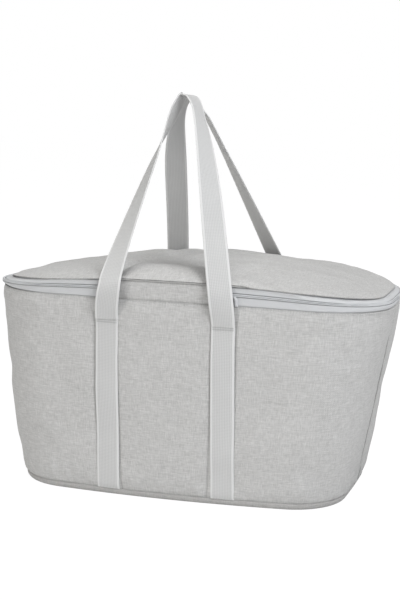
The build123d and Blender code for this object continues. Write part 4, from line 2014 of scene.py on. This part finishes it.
@dataclass(frozen=True)
class Lid:
    """The padded lid's outer cloth, its foam and its lining."""

    shape: LidForm
    settling: Settling = Settling(cap=1.5 * MM)
    # How dark the painted shade along the lid seam is.
    seam_shade: float = 0.55
    creases: tuple[Crease, ...] = (
        Crease(((-59, -112), (-58, -50), (-22, 45)), 3.8, 7.5),
        Crease(((68, -104), (74, -60), (100, -10)), 2.2, 8.0),
        Crease(((-120, 112), (-90, 90), (-40, 75)), 2.4, 9.0),
    )

    def relief(self, x: Array, y: Array, away: Array, around: Array) -> Array:
        """Soft waves, puckers along the edge and creases.

        Args:
            x, y: place on the lid.
            away: distance from the seam.
            around: length along the seam.
        Returns:
            Relief in metres outwards.
        """
        fade = smooth(0.004, 0.030, away)
        out = soft_noise(x, y, 0.115, 61) * 1.1 * MM * fade
        out += soft_noise(x, y, 0.042, 67) * 0.38 * MM * fade
        out += soft_noise(around, away * 0.3, 0.018, 71) * 0.30 * MM * hump(away / 0.010)
        front = smooth(-0.062, -0.042, x) * smooth(0.110, 0.078, x) * (y < 0)
        out += 2.4 * MM * front * bell(away - 0.022, 0.022)
        for crease in self.creases:
            out -= crease.press(x, y)
        return out

    def build(self) -> Iterator[Piece]:
        """Outer cloth, foam and lining, from the top down.

        Returns:
            The three pieces, one at a time.
        """
        outer, inner, coords, away = self.surface()
        # Painted shade along the lid seam.
        patch = shell(outer, inner, coords, self.seam_shade * bell(away, 0.8 * MM), closed=True)
        piece = seat(patch, "lid_cloth", BODY_CLOTH, "lid_panel", "lid", SEAM_WELD)
        yield piece
        yield self.build_foam(inner)
        yield self.build_lining()

    def surface(self) -> tuple[Array, Array, Array, Array]:
        """Cloth of the lid: its grid moved along its normals by relief and settling.

        Normals are turned upright near the line of centres.

        Returns:
            Outer grid, inner grid, surface coordinates and distance from the seam.
        """
        grid, away = self.shape.grid()
        around = np.broadcast_to(lengths_along(grid[0]), away.shape)
        normal = -grid_normals(np.concatenate([grid[:, -1:], grid, grid[:, :1]], axis=1))[:, 1:-1]
        normal *= np.where(normal[..., 2:3] < -0.5, -1, 1)
        upright = smooth(0.85, 1.0, self.shape.inward())[:, None, None]
        normal = unit(normal * (1 - upright) + UP * upright)
        out = self.relief(grid[..., 0], grid[..., 1], away, around)
        held = smooth(0.006, 0.001, away)
        wrapped = [np.concatenate([part, part[:, :1]], axis=1)[::-1] for part in (grid, held)]
        settled = self.settling.settle(*wrapped)[::-1, :-1]
        out = out + settled * smooth(0.0, 0.010, away)
        outer = grid + normal * out[..., None]
        inner = grid + normal * (np.minimum(out, 0) - self.shape.cloth)[..., None]
        return outer, inner, stack(grid[..., 0], grid[..., 1] * 1.03), away

    def build_foam(self, inner: Array) -> Piece:
        """Foam between the outer cloth's back and the lining.

        Args:
            inner: back of the outer cloth.
        Returns:
            The new piece.
        """
        grid, away = self.shape.grid()
        top = inner[2:] - np.array([0, 0, 0.2 * MM])
        under = top.copy()
        under[..., 2] = np.minimum(self.lining_height(grid, away)[2:] + 0.3 * MM,
                                   top[..., 2] - 0.3 * MM)
        patch = shell(top[::2], under[::2], grid[2::2, :, :2], closed=True)
        piece = seat(patch, "lid_foam", FOAM_CELLS, "lid_insulation", "lid", SEAM_WELD)
        return piece

    def lining_height(self, grid: Array, away: Array) -> Array:
        """Height of the lining's upper face under each point of the outer grid.

        Args:
            grid, away: points of the outer grid, and their distance from the seam.
        Returns:
            One height for each point.
        """
        slack = 0.4 * MM * soft_noise(grid[..., 0], grid[..., 1], 0.05, 83)
        return grid[..., 2] - 1.5 * MM - 5.6 * MM * smooth(0, 0.012, away) \
            + slack * smooth(0.0, 0.03, away)

    def build_lining(self) -> Piece:
        """Film under the lid's foam, out to the zip tape and slack in the middle.

        Returns:
            The new piece.
        """
        grid, away = self.shape.grid()
        grid, away = grid[::2, ::2], away[::2, ::2]
        top = grid.copy()
        top[..., 2] = self.lining_height(grid, away)
        top[..., 0] *= 1 - 0.008
        top[..., 1] *= 1 - 0.012
        under = top.copy()
        under[..., 2] -= 0.6 * MM
        patch = shell(top, under, grid[..., :2], closed=True)
        piece = seat(patch, "lid_lining_film", LINING_FILM, "lid_lining", "lid", SEAM_WELD)
        return piece


# ---- inside
@dataclass(frozen=True)
class Lining:
    """Wipe-clean lining of the tub and the tape that binds its top edge."""

    form: BagForm
    depth: float = 6.6 * MM
    film: float = 0.6 * MM
    floor_z: float = 9.1 * MM
    columns: int = 360

    def ring(self, turns: Array, z: Array, inside: float) -> Array:
        """Outline of the inside at a height.

        Args:
            turns: places round the bag.
            z: height of each one.
            inside: distance in from the outside.
        Returns:
            One point for each turn.
        """
        spot = self.form.wall(turns, z)
        ahead = self.form.wall(turns + 0.002, z)
        inward = unit(np.cross(UP, ahead - spot))
        out = spot + inward * inside
        out[..., 2] = z
        return out

    def face(self, inside: float, floor: float) -> Array:
        """One face of the lining: walls down to a rounded corner, then the floor.

        Args:
            inside: how far it lies in from the outside.
            floor: height of its floor.
        Returns:
            Grid whose last row folds onto itself.
        """
        turns = round_turns(self.columns)
        rim = self.form.band(turns, 0.0)[:, 2] - 3.2 * MM
        radius = 7.0 * MM
        rows = []
        for t in np.linspace(0, 1, 46):
            z = rim + (floor + radius - rim) * t
            spot = self.ring(turns, z, inside)
            sag = soft_noise(turns * TURN_LENGTH, z, 0.075, 91) * 0.9 * MM
            fold = soft_noise(turns * TURN_LENGTH, z * 0.35, 0.026, 93) * 0.35 * MM
            pull = (sag + fold) * math.sin(math.pi * min(1.0, t * 1.02)) ** 0.7
            inward = unit(self.ring(turns, z, inside + 0.001) - spot)
            rows.append(spot + inward * (np.abs(pull) * 0.9)[:, None])
        for angle in np.linspace(0.2, math.pi / 2, 8):
            rows.append(self.ring(turns, floor + radius * (1 - math.sin(angle)),
                                  inside + radius * (1 - math.cos(angle))))
        last = rows[-1]
        spine = stack(0.45 * last[:, 0], 0.0, last[:, 2])
        for t in np.linspace(0.05, 1.0, 26):
            spot = last + (spine - last) * t
            wave = soft_noise(spot[:, 0], spot[:, 1], 0.07, 97)
            spot[:, 2] += 0.5 * MM * np.abs(wave) * min(1.0, 4 * t)
            rows.append(spot)
        return np.stack(rows)

    def build_foam(self, side: Side) -> Piece:
        """Foam of one side, from the base to the binding, bent round both of its ends.

        Args:
            side: which side.
        Returns:
            The new piece.
        """
        middle = 0.0 if side is Side.HINGE else 2.0
        turns = np.linspace(middle - 1.0, middle + 1.0, 220)
        rim = self.form.band(turns, 0.0)[:, 2] - 2.6 * MM
        level = np.linspace(0, 1, 40)[:, None]
        z = self.form.base_z + 0.3 * MM + level * (rim[None] - self.form.base_z - 0.3 * MM)
        outer, inner = self.ring(turns, z, 1.25 * MM), self.ring(turns, z, self.depth - 0.9 * MM)
        patch = shell(outer, inner, stack(turns * TURN_LENGTH, z))
        piece = seat(patch, f"wall_foam_{side.place}", FOAM_CELLS, f"wall_insulation_{side.place}",
                     "tub")
        return piece

    def build_film(self) -> Piece:
        """The tub's lining as one closed sheet.

        Returns:
            The new piece.
        """
        inside = self.face(self.depth, self.floor_z)
        outside = self.face(self.depth - self.film, self.floor_z - self.film)
        turns = round_turns(self.columns)
        coords = stack(turns * TURN_LENGTH, lengths_along(inside))
        patch = shell(inside, outside, coords, closed=True)
        piece = seat(patch, "inner_lining_film", LINING_FILM, "inner_lining", "tub", SEAM_WELD)
        round(sheet_area(inside, closed=True), 4)
        return piece

    def build_binding(self) -> Piece:
        """Tape folded round the top edges of the foam and the lining.

        Returns:
            The new piece.
        """
        columns = 420
        turns = round_turns(columns)
        rim = self.form.band(turns, 0.0)[:, 2]
        section = np.array([(1.3, -6.2), (1.25, -3.6), (1.5, -0.9), (2.4, -0.25), (4.5, 0.0),
                            (6.6, -0.3), (7.5, -1.0), (7.7, -3.6), (7.5, -6.4), (6.95, -6.4),
                            (6.9, -3.8), (6.7, -1.4), (4.6, -0.75), (2.3, -1.1), (1.9, -3.6),
                            (1.9, -6.2)]) * MM
        spot0 = self.form.wall(turns, rim)
        ahead = self.form.wall(turns + 0.002, rim)
        inward = unit(np.cross(UP, (ahead - spot0) * np.array([1, 1, 0])))
        ruck = 0.12 * MM * soft_noise(turns * TURN_LENGTH, 0.0, 0.012, 99)
        rings = spot0[:, None] + inward[:, None] * section[None, :, :1]
        rings[..., 2] = rim[:, None] - 0.15 * MM + section[None, :, 1] + ruck[:, None]
        quads = grid_quads(columns + 1, len(section), closed=True)
        quads = np.where(quads >= columns * len(section), quads - columns * len(section), quads)
        coords = stack(turns[:, None] * TURN_LENGTH, section[None, :, 0] + section[None, :, 1])
        patch = Patch()
        patch.add(rings, quads[:, ::-1], coords)
        piece = seat(patch, "rim_binding_tape", BINDING_CLOTH, "rim_binding", "tub", 0.005 * MM)
        return piece


# ---- stitching
@dataclass(frozen=True)
class Stitches:
    """Rows of short thread, each stitch a small capsule that dips at both ends."""

    length: float = 2.3 * MM
    pitch: float = 3.0 * MM
    radius: float = 0.28 * MM

    def row(self, line: Array, facing: Array, patch: Patch) -> None:
        """Adds one row of thread, all stitches at once.

        Args:
            line: points along the row.
            facing: direction out of the cloth at each.
            patch: where it is added.
        """
        run = lengths_along(line)
        starts = np.arange(0.5 * self.pitch, run[-1] - self.pitch, self.pitch)
        part = np.array([0.0, 0.10, 0.35, 0.65, 0.90, 1.0])
        girth = np.array([0.25, 0.80, 1.0, 1.0, 0.80, 0.25]) * self.radius
        sunk = np.array([-0.30, -0.02, 0.12, 0.12, -0.02, -0.30]) * MM
        where = starts[:, None] + part[None] * self.length
        centre = np.stack([np.interp(where, run, line[:, k]) for k in range(3)], axis=-1)
        out = unit(np.stack([np.interp(where, run, facing[:, k]) for k in range(3)], axis=-1))
        along = unit(np.gradient(centre, axis=1))
        side = unit(np.cross(along, out))
        angle = np.linspace(0, math.tau, 6, endpoint=False)
        cos, sin = np.cos(angle)[:, None], np.sin(angle)[:, None]
        ring = cos * side[:, :, None] + sin * out[:, :, None]
        middle = centre + out * sunk[:, None]
        points = middle[:, :, None] + ring * girth[:, None, None]
        count = len(starts)
        sides = grid_quads(6, 6, closed=True)
        half = np.arange(2)
        cap = stack(half, 5 - half, 4 - half, half + 1)
        one = np.concatenate([sides, cap, cap[:, ::-1] + 30])
        quads = one[None, :, ::-1] + (np.arange(count) * 36)[:, None, None]
        patch.add(points, quads, np.zeros((count * 36, 2)))


@dataclass(frozen=True)
class Seams:
    """All the rows of stitches that show, gathered into one piece for each body."""

    tub: TubCloth
    stitch: Stitches = Stitches()
    across: Stitches = Stitches(1.9 * MM, 2.6 * MM, 0.27 * MM)

    def on_band(self, turns: Array, rise: float, out: float, patch: Patch) -> None:
        """Adds a row on the zip band.

        Args:
            turns: places along the row.
            rise: its place between the rim seam and the lid seam.
            out: how far the thread stands off the band's smooth form.
            patch: where it is added.
        """
        form = self.tub.form
        line = form.band(turns, rise)
        up = form.band(turns, rise + 0.05) - line
        facing = unit(np.cross(np.gradient(line, axis=0), up))
        self.stitch.row(line + facing * out, facing, patch)

    def finish(self, patch: Patch, name: str, body: str) -> Piece:
        """Makes the thread of one body.

        Args:
            patch: all of its stitches.
            name, body: its name, and the body that it rides on.
        Returns:
            The new piece.
        """
        piece = patch.build(name)
        THREAD.dress(piece)
        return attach(piece, body)

    def build_tub(self) -> Piece:
        """Rows beside the rim seam, down the end seams and across the straps.

        Returns:
            The new piece.
        """
        patch = Patch()
        turns = Run(self.tub.form).turns()
        self.on_band(turns, -0.12, 0.45 * MM, patch)
        self.on_band(Run(self.tub.form).hinge_turns(0.004), -0.11, 0.45 * MM, patch)
        for side in Side:
            for hand in Hand:
                self.cross(side, hand, patch)
        for hand in Hand:
            turn = 1.0 if hand is Hand.RIGHT else 3.0
            z = np.linspace(0.010, 0.213, 160)
            line = self.tub.form.wall(turn, z)
            line[:, 1] = 1.9 * MM
            facing = np.tile([float(hand.value), 0, 0.1], (160, 1))
            self.stitch.row(line + facing * 0.95 * MM, unit(facing), patch)
        return self.finish(patch, "tub_stitches", "tub")

    def cross(self, side: Side, hand: Hand, patch: Patch) -> None:
        """Two rows across a strap at the top of its sewn part.

        Args:
            side, hand: which strap.
            patch: where they are added.
        """
        for z0 in (0.1945, 0.1915):
            x = sewn_x(side, hand) + np.linspace(-11.3, 11.3, 60) * MM
            line = self.tub.strap_ground(side, x, z0)
            line[:, 1] += side.value * 1.62 * MM
            facing = np.tile([0, float(side.value), 0.05], (60, 1))
            self.across.row(line, unit(facing), patch)

    def build_lid(self) -> Piece:
        """Row beside the lid seam on the upper tape.

        Returns:
            The new piece.
        """
        patch = Patch()
        self.on_band(Run(self.tub.form).turns(), 0.90, 0.0, patch)
        return self.finish(patch, "lid_stitches", "lid")


# ---- studio
def outlook(azimuth: float, elevation: float) -> Vector:
    """Unit vector from the bag towards an azimuth from -Y to +X and an elevation, in degrees."""
    az, el = math.radians(azimuth), math.radians(elevation)
    return Vector((math.sin(az) * math.cos(el), -math.cos(az) * math.cos(el), math.sin(el)))


@dataclass(frozen=True)
class Studio:
    """Camera, floor, soft lights and white surroundings."""

    azimuth: float = 16.39
    elevation: float = 9.3
    distance: float = 1.703
    lens: float = 89.8
    aim_z: float = 0.120
    shift: float = 0.08098
    roll: float = 0.92

    def camera(self) -> Piece:
        """Camera on its orbit, rolled a little, aimed above the bag's foot.

        Returns:
            The camera.
        """
        back, right = outlook(self.azimuth, self.elevation), outlook(self.azimuth + 90.0, 0.0)
        up = back.cross(right)
        place = Vector((0, 0, self.aim_z)) + up * self.shift + back * self.distance
        roll = math.radians(self.roll)
        turned_right = right * math.cos(roll) + up * math.sin(roll)
        turned_up = up * math.cos(roll) - right * math.sin(roll)
        data = bpy.data.cameras.new("Camera")
        data.lens, data.sensor_width, data.sensor_fit = self.lens, 36.0, "AUTO"
        data.clip_start, data.clip_end = 0.05, 50.0
        camera = new_object("Camera", data)
        turned = Matrix((turned_right, turned_up, back)).transposed().to_4x4()
        camera.matrix_world = Matrix.Translation(place) @ turned
        bpy.context.scene.camera = camera
        return camera

    def lamp(self, name: str, azimuth: float, elevation: float, power: float, size: float,
             colour: tuple[float, float, float], reach: float = 2.2) -> None:
        """Square area light aimed at the middle of the bag.

        Args:
            name: its name.
            azimuth, elevation: where it stands, in degrees.
            power, size: watts, and length of its side.
            colour: colour of its light.
            reach: how far away it is.
        """
        way = outlook(azimuth, elevation)
        data = bpy.data.lights.new(name, "AREA")
        data.shape, data.size, data.energy, data.color = "SQUARE", size, power, colour
        lamp = new_object(name, data)
        lamp.location = Vector((0, 0, 0.2)) + way * reach
        lamp.rotation_euler = way.to_track_quat("Z", "Y").to_euler()

    def world(self, colour: tuple[float, float, float], strength: float) -> None:
        """Even light from all round, and plain white where the camera sees it.

        Args:
            colour, strength: colour and strength of the even light.
        """
        world = bpy.data.worlds.new("Studio world")
        world.use_nodes = True
        graph = Graph(world.node_tree)
        seen = world.node_tree.nodes["Background"]
        seen.inputs["Color"].default_value = (1.0, 1.0, 1.0, 1.0)
        light = graph.node("Background", {"Color": (*colour, 1.0), "Strength": strength})
        graph.seen_as(light, seen, 1.0, "World Output")
        bpy.context.scene.world = world

    def floor(self) -> Piece:
        """Pale floor that keeps the soft shadow of the bag.

        Returns:
            The floor.
        """
        mesh = bpy.data.meshes.new("Floor")
        mesh.from_pydata([(-6, -6, 0), (6, -6, 0), (6, 6, 0), (-6, 6, 0)], [], [(0, 1, 2, 3)])
        floor = new_object("Floor", mesh)
        material = bpy.data.materials.new("Pale floor")
        material.use_nodes = True
        graph = Graph(material.node_tree)
        shader = material.node_tree.nodes["Principled BSDF"]
        shader.inputs["Base Color"].default_value = (0.9, 0.9, 0.9, 1.0)
        shader.inputs["Roughness"].default_value = 0.9
        shader.inputs["Specular IOR Level"].default_value = 0.0
        glow = graph.node("Emission", {"Color": (1, 1, 1, 1), "Strength": 1.06})
        graph.seen_as(shader, glow, 0.93, "Material Output")
        mesh.materials.append(material)
        return floor

    def build(self) -> None:
        """Sets up camera, floor, lights and world."""
        self.camera()
        self.floor()
        self.lamp("Key", 50.0, 35.0, 29.5, 0.9, (0.965, 0.978, 1.0))
        self.lamp("Left fill", -45.0, 6.0, 16.5, 1.2, (1.0, 0.985, 0.955))
        self.lamp("Top", 0.0, 85.0, 23.0, 1.2, (1.0, 0.992, 0.975))
        self.lamp("Back fill", 200.0, 35.0, 3.0, 1.2, (1.0, 0.99, 0.98))
        self.world((0.97, 0.98, 1.0), 0.19)
        bpy.context.scene.view_settings.view_transform = "Standard"


# ---- whole bag
def dress_rigid() -> None:
    """Puts finishes on the nodes that keep the construction model's shape."""
    nodes = frame["nodes"]
    for name in ("zip_slider_left", "zip_slider_right", "zip_puller_left", "zip_puller_right"):
        ZIP_METAL.dress(nodes[name])
    STIFFENER.dress(nodes["base_board"])
    FOAM_CELLS.dress(nodes["base_insulation"])


def bag_pieces(form: BagForm) -> Iterator[Piece]:
    """Builds every soft piece in turn, from the base up.

    Args:
        form: the bag's outside form.
    Returns:
        The pieces, one at a time.
    """
    tub, band, lid = TubCloth(form), ZipBand(form), Lid(LidForm(form))
    handles, inside = Handles(tub), Lining(form)
    yield tub.build_base()
    for hand in Hand:
        yield tub.build_end_seam(hand)
    for side in Side:
        yield inside.build_foam(side)
        yield tub.build_panel(side)
    yield from lid.build()
    for hand in Hand:
        yield band.build_tab(hand)
    for body in ("tub", "lid"):
        yield band.build_tape(body)
        yield band.build_coil(body)
    yield band.build_hinge()
    yield inside.build_film()
    yield inside.build_binding()
    for side in Side:
        for hand in Hand:
            yield handles.build_sewn(side, hand)
            yield handles.build_root(side, hand)
        yield handles.build_loop(side)
    seams = Seams(tub)
    yield from (seams.build_tub(), seams.build_lid())


def main() -> None:
    """Builds and reports every piece of the bag, then the studio round it."""
    logging.basicConfig(level=logging.INFO, format="%(name)s: %(message)s")
    for piece in bag_pieces(BagForm.from_frame()):
        LOG.info("%s: %d points, %d faces", piece.name, len(piece.data.vertices),
                 len(piece.data.polygons))
    dress_rigid()
    Studio().build()


if __name__ == "__main__":
    main()
